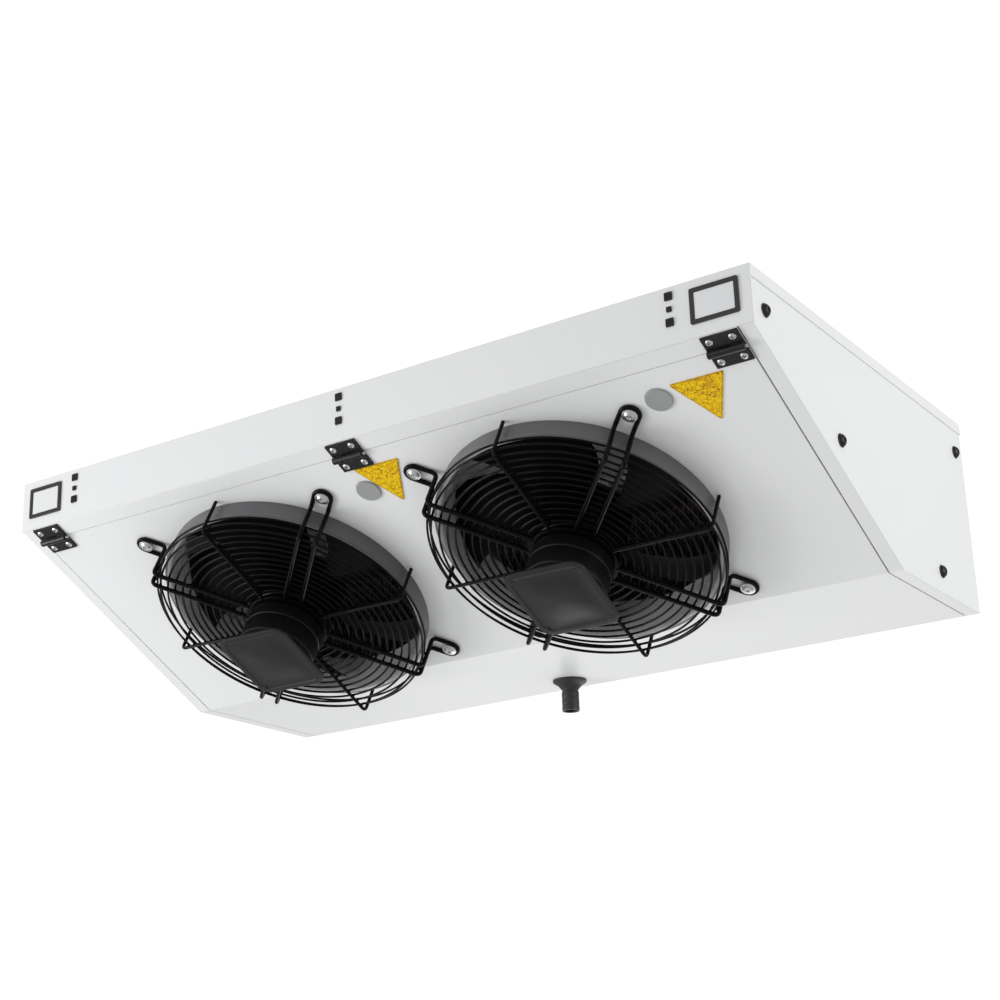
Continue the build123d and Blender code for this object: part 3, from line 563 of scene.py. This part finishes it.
# %% Fan places
joints = {joint["name"]: joint for joint in frame["joints"]}
fan_places = {}
for side in SIDES:
    spin = joints[f"fan_{side}_spin"]
    out = np.array(spin["axis"], float)
    out = out / np.linalg.norm(out)
    along = np.array([1.0, 0.0, 0.0])
    axes = np.stack([along, np.cross(out, along), out], axis=1)
    centre = np.array(spin["pos_m"], float) / MM
    fan_places[side] = np.concatenate([axes, centre[:, None]], axis=1)[None]
print({side: np.round(place[0, :, 3], 1).tolist() for side, place in fan_places.items()})


def fan_piece(stem, shapes, body, material, replaces, crease=35.0):
    """Lays the same shapes on both fans. `body` is the panel's, or None for the fan's own."""
    for side in SIDES:
        laid = [repeated(shape, fan_places[side]) for shape in shapes]
        rider = body or f"fan_{side}"
        nodes = [f"{name}_{side}" for name in replaces]
        piece(f"{stem}_{side}", laid, rider, material, nodes, crease)


PANEL = "fan_panel_body"

# %% [markdown]
# ## The wire guard
# The guard is bent steel wire under black enamel. Four double arms lie over the rings, turn down at the
# rim and end in a loop for a screw. Four single spokes lie between them. Each wire is a circle carried
# along its bent line. The rings are the same circle carried round the fan's axis. Curve objects with a
# round bevel would give the same wires, but arrays are easier to repeat and to lay into place.

# %% Guard sizes
arm_level, arm_radius = 47.0, 2.6
rim_radius, foot_radius = 168.5, 192.4
arm_half_gap, arm_bend = 10.0, 7.0
hub_radius, arm_in_hub, spoke_in_hub = 50.0, 3.0, 2.0
spoke_radius, spoke_foot, ring_radius = 2.1, 0.4, 1.3
bend_steps = 8
ring_first, ring_last, ring_count = 57.0, 159.0, 12
ring_height = arm_level - arm_radius - ring_radius
side_levels = (28.5, 38.0)
side_ring_radius = rim_radius - arm_radius - ring_radius
arm_angles = (45.0, 135.0, 225.0, 315.0)
spoke_angles = (0.0, 90.0, 180.0, 270.0)
ring_radii = np.linspace(ring_first, ring_last, ring_count)
print("rings at", np.round(ring_radii, 1).tolist())

# %% Arms with their foot loops
leg = softened(
    [
        (hub_radius - arm_in_hub, arm_half_gap, arm_level),
        (rim_radius, arm_half_gap, arm_level),
        (rim_radius, arm_half_gap, arm_radius),
        (foot_radius, arm_half_gap, arm_radius),
    ],
    arm_bend,
    steps=bend_steps,
)
bow = np.linspace(0, math.pi, 17)[1:-1]
bow_side = np.stack([np.sin(bow), np.cos(bow), np.zeros_like(bow)], axis=1)
bow_path = bow_side * arm_half_gap + (foot_radius, 0.0, arm_radius)
arm_path = np.vstack([leg, bow_path, (leg * (1, -1, 1))[::-1]])
leg_side = np.broadcast_to((0.0, 1.0, 0.0), leg.shape)
arm_side = np.vstack([leg_side, bow_side, -leg_side])
arm_shape = drawn_wire(arm_path, arm_side, arm_radius, sides=14)
fan_piece(
    "guard_arm_wires", [repeated(arm_shape, about_z(arm_angles))], PANEL, wire_enamel,
    ["guard_arms"], crease=60.0,
)

# %% Spokes
spoke_line = softened(
    [
        (hub_radius - spoke_in_hub, 0.0, arm_level),
        (rim_radius, 0.0, arm_level),
        (rim_radius, 0.0, spoke_foot),
    ],
    arm_bend,
    steps=bend_steps,
)
spoke_shape = drawn_wire(spoke_line, (0.0, 1.0, 0.0), spoke_radius, sides=12)
fan_piece(
    "guard_spoke_wires", [repeated(spoke_shape, about_z(spoke_angles))], PANEL, wire_enamel,
    ["guard_spokes"], crease=60.0,
)


# %% Rings
def wire_ring(radius, height):
    """A ring of wire: (radius cos a, radius sin a, height) for a whole turn of a."""
    angle = np.linspace(0, TURN, 180, endpoint=False)
    outwards = np.stack([np.cos(angle), np.sin(angle), np.zeros_like(angle)], axis=1)
    return drawn_wire(outwards * radius + (0, 0, height), outwards, ring_radius, sides=8, loop=True)


fan_piece(
    "guard_front_rings", [wire_ring(radius, ring_height) for radius in ring_radii], PANEL, wire_enamel,
    ["guard_face_rings"], crease=60.0,
)
fan_piece(
    "guard_rim_rings", [wire_ring(side_ring_radius, level) for level in side_levels], PANEL,
    wire_enamel, ["guard_side_rings"], crease=60.0,
)

# %% [markdown]
# ## Welds
# Every ring is spot welded where it crosses an arm or a spoke. Under enamel such a weld is a small
# flattened lump between the two wires. Joining the wires into one mesh would show a sharp crease there.
# One lump with few faces, repeated at every crossing, hides the crossing as the real weld does.

# %% Weld lumps
lump_profile = [(0, -1.5), (1.5, -1.1), (2.1, 0), (1.5, 1.1), (0, 1.5)]
lump = turned(lump_profile, steps=8)
weld_height = ring_height + ring_radius
leg_turns = np.degrees(np.arcsin(arm_half_gap / ring_radii))
arm_welds = [
    about_z([angle + leg_turn, angle - leg_turn], (radius, 0, weld_height))
    for angle in arm_angles for radius, leg_turn in zip(ring_radii, leg_turns)
]
spoke_welds = [about_z(spoke_angles, (radius, 0, weld_height)) for radius in ring_radii]
rim_turn = math.degrees(math.asin(arm_half_gap / side_ring_radius))
rim_angles = [angle + turn for angle in arm_angles for turn in (-rim_turn, rim_turn)]
rim_weld_radius = side_ring_radius + 1.2
rim_welds = [about_z(rim_angles, (rim_weld_radius, 0, level)) for level in side_levels]
weld_places = np.concatenate(arm_welds + spoke_welds + rim_welds)
fan_piece("guard_welds", [repeated(lump, weld_places)], PANEL, wire_enamel, [], 60.0)
print(len(weld_places), "welds on each guard")

# %% [markdown]
# ## Hub plate, motor and end plate
# The guard's middle is a pressed steel ring that carries the motor on its outside. The motor is a
# squat black drum with rolled edges and a seam, and its charcoal end plate is a rounded square held by
# four small screws. Round parts are turned profiles. The square plate is a stack of rounded-square
# outlines, so that its rolled rim and its shallow middle are one closed surface.

# %% Hub plate
plate_low, plate_high, plate_hole = arm_level - arm_radius, arm_level + arm_radius, 34.0
plate_step, step_inside, step_outside = plate_high - 1.4, 42.0, 44.0
plate_start = (plate_hole, plate_low + 1.0)
hub_profile = softened(
    [
        plate_start, (plate_hole, plate_high), (step_inside, plate_high), (step_outside, plate_step),
        (hub_radius, plate_step), (hub_radius, plate_low), (plate_hole, plate_low), plate_start,
    ],
    0.6,
    steps=4,
)
fan_piece("hub_plate", [turned(hub_profile, 96)], PANEL, wire_enamel, ["guard_hub"])

# %% Motor drum
drum_radius, drum_low, drum_high, drum_edge = 46.0, plate_high, 100.0, 2.5
boss_radius, boss_level = 33.4, 42.5
seam_radius, seam_low, seam_high = drum_radius - 1.0, 67.0, 68.6
neck_radius, neck_level = drum_radius - 1.2, 91.4
drum_profile = softened(
    [
        (0, boss_level), (boss_radius - 3.4, boss_level), (boss_radius, boss_level + 1.0),
        (boss_radius, drum_low), (drum_radius - drum_edge, drum_low),
        (drum_radius, drum_low + drum_edge), (drum_radius, seam_low - 1.0), (seam_radius, seam_low),
        (seam_radius, seam_high), (drum_radius, seam_high + 1.0), (drum_radius, neck_level - 1.4),
        (neck_radius, neck_level), (neck_radius, drum_high), (0, drum_high),
    ],
    0.35,
    steps=4,
)
fan_piece("motor_drum", [turned(drum_profile, 128)], PANEL, motor_paint, ["motor_body"])


# %% End plate
def rounded_square(width, corner, height, per_corner=10):
    """One outline: a square of `width` whose corners are quarter circles of radius `corner`."""
    quarter = np.linspace(0, math.pi / 2, per_corner)
    arc = np.stack([np.cos(quarter), np.sin(quarter)], axis=1) * corner + (width / 2 - corner)
    quarters = [arc, arc[::-1] * (-1, 1), arc * (-1, -1), arc[::-1] * (1, -1)]
    flat_line = np.vstack(quarters)
    return np.column_stack([flat_line, np.full(len(flat_line), height)])


cap_width, cap_corner, cap_middle = 99.0, 16.0, (0.02, 0.005)
cap_low, cap_rim = drum_high, 104.5
cap_floor, cap_field = cap_rim - 0.8, cap_rim - 0.2
cap_outlines = [
    (*cap_middle, cap_low), (cap_width - 3, cap_corner - 1, cap_low),
    (cap_width - 0.6, cap_corner, cap_low + 0.6), (cap_width, cap_corner, cap_low + 1.4),
    (cap_width, cap_corner, cap_low + 3.2), (cap_width - 0.8, cap_corner - 0.3, cap_rim - 0.4),
    (cap_width - 3, cap_corner - 1, cap_rim), (cap_width - 13, cap_corner - 5, cap_rim),
    (cap_width - 15, cap_corner - 6, cap_floor), (cap_width - 40, 20.0, cap_floor),
    (cap_width - 42, 19.5, cap_field), (*cap_middle, cap_field),
]
cap_grid = np.stack([rounded_square(*outline) for outline in cap_outlines])
fan_piece(
    "motor_end_plate", [surface(cap_grid, wrap_v=True)], PANEL, plate_paint,
    ["motor_cap"],
)

# %% Small screws of the end plate
small_head_profile = softened(
    [(0, 103.9), (1.2, 103.9), (1.5, 104.8), (2.4, 104.9), (3.1, 104.2), (3.2, 103.0), (0, 103.0)],
    0.2,
    steps=3,
)
small_head = turned(small_head_profile, 20)
small_head_inset = 9.5
corner_reach = (cap_width / 2 - small_head_inset) * math.sqrt(2)
fan_piece(
    "end_plate_screws", [repeated(small_head, about_z(arm_angles, (corner_reach, 0, 0)))], PANEL,
    black_enamel, [],
)

# %% [markdown]
# ## Shroud
# Each fan turns in one plastic ring, made in two parts: a glossy throat whose lip rolls over the rim, and a
# collar that comes down onto the panel. The throat is painted pale as painted light on its inner wall, the
# collar darker as painted shade on its outer wall, and the collar's rim has a painted highlight. Each
# section is one loop of points turned round the axis, which gives the wall its true thickness. A bare tube
# with a thickness added later would have no rolled lip.

# %% Shroud ring
throat, collar, rim_top, throat_depth, wall = 154.0, 162.0, 22.0, -30.0, 1.6
lip_edge, lip_low, collar_foot = throat + 4.4, rim_top - 2.0, 0.05
throat_profile = softened(
    [
        (throat, throat_depth), (throat, rim_top - 5.0), (throat + 1.6, rim_top - 1.6),
        (throat + 3.4, rim_top), (lip_edge, rim_top), (lip_edge, lip_low),
        (throat + 3.0, rim_top - 2.4), (throat + wall, rim_top - 7.0), (throat + wall, throat_depth),
        (throat + 0.4, throat_depth),
    ],
    0.5,
    steps=4,
)
collar_profile = softened(
    [
        (lip_edge, rim_top), (collar - 2.2, rim_top), (collar, rim_top - 2.0), (collar, 2.4),
        (collar, collar_foot), (collar - wall, collar_foot), (collar - wall, rim_top - 3.2),
        (lip_edge, lip_low), (lip_edge, rim_top - 0.3),
    ],
    0.5,
    steps=4,
)
fan_piece(
    "shroud_collar", [closed_ring(collar_profile, 192)], PANEL, collar_plastic_painted_shade,
    ["shroud"],
)
fan_piece("shroud_throat", [closed_ring(throat_profile, 192)], PANEL, throat_plastic_painted_light, [])

# %% [markdown]
# ## Foot screws
# A zinc-plated screw with a wide flange sits in each foot loop and clamps its two wires to the panel.
# The head has a round recess. All of it is one turned profile, repeated at the four feet.

# %% Foot screws
recess_floor, head_top, head_seat, flange_radius, shank_radius = 6.4, 7.9, 4.9, 8.5, 2.2
foot_head_profile = softened(
    [
        (0, recess_floor), (1.8, recess_floor), (2.2, head_top), (3.6, head_top), (5.6, 6.7),
        (6.4, 5.7), (flange_radius, 5.5), (flange_radius, head_seat), (shank_radius, head_seat),
        (shank_radius, -4.0), (0, -4.0),
    ],
    0.25,
    steps=3,
)
foot_head = turned(foot_head_profile, 32)
fan_piece(
    "foot_screw_heads", [repeated(foot_head, about_z(arm_angles, (foot_radius, 0, 0)))], PANEL,
    zinc, ["foot_screws"],
)

# %% [markdown]
# ## Rotor and blades
# Five sickle-shaped blades stand on a hub that sleeves the rotor. A blade could be modelled by hand,
# but its law is simple: at each radius it has a chord, a pitch, and a turn about the axis, and the
# chord is wrapped on the cylinder of that radius, so that the tip runs true in the shroud.

# %% Blades
blade_count, blade_root, blade_tip = 5, 49.0, 149.6
blade_level, blade_thickness, blade_camber = -12.0, 1.4, 3.0
station_radii = (44.0, 95.0, 158.0)
station_chords, station_pitches = (50.0, 88.0, 112.0), (36.0, 24.0, 16.0)
sweep_turn, sweep_power, tip_thinning = 27.0, 1.6, 0.35
sweep_start, sweep_length = station_radii[0], station_radii[-1] - station_radii[0]


def fan_blade(rows=26, round_chord=32):
    """One blade, with u from root to tip and w once round the section.

    v = cos w runs along the chord, and sin w gives the thickness, which thins towards the tip.
    Height = level + v chord/2 sin(pitch) + camber (1 - v^2) (0.4 + 0.6 u).
    Angle about the axis = sweep + v chord/2 cos(pitch) / radius, where the sweep grows as the distance
    from its start to the power 1.6. The last row has no thickness, so it closes onto the chord.
    """
    u = np.linspace(0, 1, rows)[:, None]
    w = np.linspace(0, TURN, round_chord, endpoint=False)[None]
    v = np.cos(w)
    radius = blade_root + (blade_tip - blade_root) * u
    chord = np.interp(radius, station_radii, station_chords)
    pitch = np.radians(np.interp(radius, station_radii, station_pitches))
    turn = np.radians(sweep_turn * ((radius - sweep_start) / sweep_length) ** sweep_power)
    thick = blade_thickness * np.where(u < 1, 1.0, 0.0) * (1.0 - tip_thinning * u) * np.sin(w)
    half = v * chord / 2
    bow_up = blade_camber * (1 - v**2) * (0.4 + 0.6 * u)
    angle = turn + (half * np.cos(pitch) - thick * np.sin(pitch)) / radius
    height = blade_level + half * np.sin(pitch) + thick * np.cos(pitch) + bow_up
    points = np.stack([radius * np.cos(angle), radius * np.sin(angle), height], axis=-1)
    return surface(points, wrap_v=True)


blade_places = about_z(np.arange(blade_count) * 360.0 / blade_count)
sleeve_inside, sleeve_outside = 47.1, 51.0
blade_ring = softened(
    [
        (sleeve_inside, 37.0), (sleeve_outside - 1.5, 37.4), (sleeve_outside, 36.0),
        (sleeve_outside, -25.0), (sleeve_outside - 1.4, -26.5), (sleeve_inside, -26.4),
        (sleeve_inside, 36.6),
    ],
    0.5,
    steps=4,
)
fan_piece(
    "fan_blades", [repeated(fan_blade(), blade_places), closed_ring(blade_ring, 96)], None,
    blade_plastic, ["impeller"], crease=50.0,
)

# %% Rotor cup
shaft_radius, shaft_end, cup_radius, cup_floor = 5.9, 92.0, 47.0, -28.5
rotor_profile = softened(
    [
        (0, shaft_end), (shaft_radius, shaft_end), (shaft_radius, 39.4), (30.0, 39.4), (33.0, 38.2),
        (cup_radius - 1.5, 38.2), (cup_radius, 37.0), (cup_radius, cup_floor + 2.5),
        (cup_radius - 2.5, cup_floor), (20.0, cup_floor), (18.0, cup_floor + 1.5), (0, cup_floor + 1.5),
    ],
    0.5,
    steps=4,
)
fan_piece("rotor_cup", [turned(rotor_profile, 96)], None, motor_paint, ["rotor"])

# %% [markdown]
# ## Side screws
# Four black dome screws hold each end cover. A head, its round drive recess and its shank are one
# turned profile. It is made about +Z, and a matrix for each place turns it to face out of its cover.

# %% Side screws
cover_face, dome_top, side_head_radius, side_shank_radius, side_screw_tip = 498.8, 5.0, 7.5, 2.5, -16.4
side_screw_profile = softened(
    [
        (0, 2.6), (2.0, 2.6), (2.4, dome_top - 0.1), (3.8, dome_top - 0.2), (6.1, 3.0), (6.9, 1.2),
        (side_head_radius, 1.0), (side_head_radius, 0.0), (side_shank_radius, 0.0),
        (side_shank_radius, side_screw_tip), (0, side_screw_tip),
    ],
    0.3,
    steps=4,
)
side_screw = turned(side_screw_profile, 36)
screw_spots = [(-242.5, -40.0), (-86.5, -127.0), (248.5, -41.0), (162.0, -207.0)]  # Y and Z
screw_places = []
for sign in (-1.0, 1.0):
    facing = np.array([(0, 0, sign), (0, 1, 0), (-sign, 0, 0)], float)
    for y, z in screw_spots:
        screw_places.append(np.column_stack([facing, (sign * cover_face, y, z)]))
piece(
    "side_screw_heads", [repeated(side_screw, screw_places)], "casing", black_enamel,
    ["cover_screws"],
)

# %% [markdown]
# ## Hinge screws
# The leaf screws are zinc plated, paler than the hinges. Each is a low dome with a cross recess. The
# recess could be cut out with a boolean, but here the dome's own points are pulled down along two
# lines, which leaves a clean grid of faces.

# %% Hinge screws
panel_fall, panel_run = 170.0, 321.0
slope = math.atan2(panel_fall, panel_run)
fold = np.array([0.0, -271.5, -62.0])
down_slope = np.array([0.0, math.cos(slope), -math.sin(slope)])
outward = np.array([0.0, -math.sin(slope), -math.cos(slope)])
panel_axes = np.stack([np.array([1.0, 0.0, 0.0]), -down_slope, outward], axis=1)


def on_panel(x, down, out=0.0):
    """Matrix that lays a shape made about +Z onto the slanted panel, `down` along it from its fold."""
    origin = fold + np.array([x, 0, 0]) + down_slope * down + outward * out
    return np.column_stack([panel_axes, origin])


def cross_head(radius, height, slot_half=0.55, steps=48, rows=22):
    """A dome with a cross recess: height (1 - 0.75 q^2), with q from 0 in the middle to 1 at the rim.

    It dips by 0.9 of the height where a point is within slot_half of the X or Y axis and both its
    distances along them are under 0.55 of the radius.
    """
    q = np.linspace(0, 1, rows)[:, None]
    angle = np.linspace(0, TURN, steps, endpoint=False)[None]
    x, y = radius * q * np.cos(angle), radius * q * np.sin(angle)
    near = np.minimum(np.abs(x), np.abs(y)) < slot_half
    inside = np.maximum(np.abs(x), np.abs(y)) < radius * 0.55
    dome = height * (1 - 0.75 * q**2) - 0.9 * height * (near & inside)
    top = np.stack([x, y, np.broadcast_to(dome, x.shape)], axis=-1)
    foot = np.stack([x[-1:], y[-1:], np.zeros((1, steps))], axis=-1)
    base = np.zeros((1, steps, 3))
    return surface(np.concatenate([top, foot, base]), wrap_v=True)


hinge_xs, hinge_down, leaf_thickness = (-461.0, -3.0, 461.0), 21.5, 2.6
screw_aside, screw_from_pin = 12.5, 13.0
leaf_head = cross_head(radius=4.0, height=1.8)
for kind, direction, body in (("fixed", -1, "casing"), ("moving", 1, PANEL)):
    spots = [
        on_panel(x + sign * screw_aside, hinge_down + direction * screw_from_pin, leaf_thickness)
        for x in hinge_xs for sign in (-1, 1)
    ]
    piece(
        f"leaf_screw_heads_{kind}", [repeated(leaf_head, spots)], body, zinc,
        [f"hinge_screws_{kind}"],
    )

# %% [markdown]
# ## Fin pack
# The coil's fins are thin aluminium plates, pressed into shallow waves so that air stirs between them.
# A fin is one closed outline, a sine wave in depth, carried from the bottom to the top of the coil. It
# has few faces, because it is repeated more than a hundred times.

# %% Fins
fin_low, fin_high = (np.array(corner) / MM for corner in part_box("coil_fins"))
fin_step, fin_half, wave_height, wave_count, fin_points = 6.0, 0.16, 0.9, 6.0, 25
first_gap, last_gap = 2.0, 1.5
depth_line = np.linspace(fin_low[1], fin_high[1], fin_points)
wave = wave_height * np.sin(np.linspace(0, TURN * wave_count, fin_points))
front_face = np.stack([wave + fin_half, depth_line], axis=1)
back_face = np.stack([wave - fin_half, depth_line], axis=1)[::-1]
fin_outline = np.vstack([front_face, back_face])
fin_rows = [
    np.column_stack([fin_outline, np.full(len(fin_outline), level)]) for level in (fin_low[2], fin_high[2])
]
fin_shape = surface(np.stack(fin_rows), wrap_v=True)
fin_xs = np.arange(fin_low[0] + first_gap, fin_high[0] - last_gap, fin_step)
fin_places = [np.column_stack([np.eye(3), (x, 0, 0)]) for x in fin_xs]
piece(
    "fin_pack", [repeated(fin_shape, fin_places)], "casing", aluminium,
    ["coil_fins"], crease=60.0,
)
print(len(fin_xs), "fins")

# %% [markdown]
# ## Drain
# The drain is a moulded black spigot: a flange under the tray, a short cone with a neck and a
# straight pipe with two shallow grip grooves for a hose. Inside it is a plain bore. Its profile is a
# closed loop that goes down the outside and back up the bore, so it is hollow from the start.

# %% Drain spigot
drain_low, drain_high = (np.array(corner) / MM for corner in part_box("drain_spigot"))
drain_middle = (drain_low + drain_high) / 2
drain_face = -232.0
bore, pipe, groove, thread, neck, flange = 8.5, 11.0, 10.5, 10.4, 10.2, 21.5
thread_top, pipe_end = 7.2, -40.0
drain_profile = softened(
    [
        (bore, thread_top), (thread, thread_top), (thread, 0.0), (flange, 0.0), (flange, -2.5),
        (15.0, -7.0), (neck, -13.0), (neck, -15.0), (pipe, -15.4), (pipe, -22.0), (groove, -23.0),
        (pipe, -24.0), (pipe, -31.0), (groove, -32.0), (pipe, -33.0), (pipe, pipe_end),
        (bore, pipe_end), (bore, thread_top - 0.4),
    ],
    0.4,
    steps=4,
)
drain_place = [np.column_stack([np.eye(3), (drain_middle[0], drain_middle[1], drain_face)])]
piece(
    "drain_pipe", [repeated(closed_ring(drain_profile, 64), drain_place)], PANEL, black_plastic,
    ["drain_spigot"],
)

# %% [markdown]
# ## Floor, light and camera
# The cooler hangs well above a plain pale floor, which sends soft light up under it. The sky is an even
# white. A large soft light stands to the front left and low, so that the guards shade the panel to
# their right. Others light the right end cover, the front band and, from behind and below, the tray.

# %% Floor
floor_level, floor_half = -3.5, 14.0
floor_mesh = bpy.data.meshes.new("floor")
floor_corners = [
    (-floor_half, -floor_half, floor_level), (floor_half, -floor_half, floor_level),
    (floor_half, floor_half, floor_level), (-floor_half, floor_half, floor_level),
]
floor_mesh.from_pydata(floor_corners, [], [(0, 1, 2, 3)])
floor_material = bpy.data.materials.new("pale_floor")
floor_material.use_nodes = True
floor_nodes = floor_material.node_tree
floor_place = add(floor_nodes, "ShaderNodeTexCoord").outputs["Object"]
floor_noise = add(floor_nodes, "ShaderNodeTexNoise", Vector=floor_place, Scale=1.5, Detail=3.0)
floor_tone = blend_colours(
    floor_nodes, floor_noise.outputs[0], (0.86, 0.86, 0.86, 1), (0.9, 0.9, 0.9, 1)
)
floor_nodes.links.new(floor_tone, floor_nodes.nodes["Principled BSDF"].inputs["Base Color"])
floor_nodes.nodes["Principled BSDF"].inputs["Roughness"].default_value = 0.8
floor_mesh.materials.append(floor_material)
floor = bpy.data.objects.new("floor", floor_mesh)
bpy.context.scene.collection.objects.link(floor)
print("floor at", floor_level)

# %% Sky: white behind the object, a little dimmer as a light
world = bpy.data.worlds.new("studio")
bpy.context.scene.world = world
world.use_nodes = True
sky = world.node_tree
seen = add(sky, "ShaderNodeLightPath").outputs["Is Camera Ray"]
sky_strength = add(sky, "ShaderNodeMapRange", Value=seen, i3=0.58, i4=1.05).outputs[0]
sky.nodes["Background"].inputs["Color"].default_value = (1, 1, 1, 1)
sky.links.new(sky_strength, sky.nodes["Background"].inputs["Strength"])
bpy.context.scene.view_settings.view_transform = "Standard"
print("sky ready")


# %% Lamps
def soft_lamp(name, place, target, size, power):
    """A square area lamp that looks at a point."""
    lamp = bpy.data.lights.new(name, "AREA")
    lamp.size = size
    lamp.energy = power
    holder = bpy.data.objects.new(name, lamp)
    holder.location = place
    aim = Vector(target) - Vector(place)
    holder.rotation_euler = aim.to_track_quat("-Z", "Y").to_euler()
    bpy.context.scene.collection.objects.link(holder)


soft_lamp("left_lamp", (-1.8, -1.5, -0.9), (-0.1, 0, -0.15), 1.1, 25.0)
soft_lamp("right_lamp", (2.6, 0.3, 0.1), (0.4, 0, -0.12), 1.5, 25.0)
soft_lamp("front_lamp", (-0.9, -2.6, 0.1), (-0.1, 0, -0.1), 1.4, 8.0)
soft_lamp("under_lamp", (-0.4, 1.3, -1.4), (-0.1, 0.12, -0.2), 1.6, 11.0)
print("lamps ready")

# %% Camera: low, in front of the right end, looking up
heading, climb, roll = math.radians(33.68), math.radians(19.2), math.radians(-1.84)
standpoint, focal_length, film_width = (1.1897, -1.7487, -0.7941), 67.14, 36.0
forward = Vector(
    (-math.sin(heading) * math.cos(climb), math.cos(heading) * math.cos(climb), math.sin(climb))
)
level = Vector((math.cos(heading), math.sin(heading), 0))
upright = level.cross(forward)
right = level * math.cos(roll) + upright * math.sin(roll)
above = -level * math.sin(roll) + upright * math.cos(roll)
lens = bpy.data.cameras.new("camera")
lens.lens, lens.sensor_width = focal_length, film_width
lens.clip_start, lens.clip_end = 0.05, 50.0
camera = bpy.data.objects.new("camera", lens)
turning = Matrix((right, above, -forward)).transposed().to_4x4()
camera.matrix_world = Matrix.Translation(standpoint) @ turning
bpy.context.scene.collection.objects.link(camera)
bpy.context.scene.camera = camera
print("camera ready")
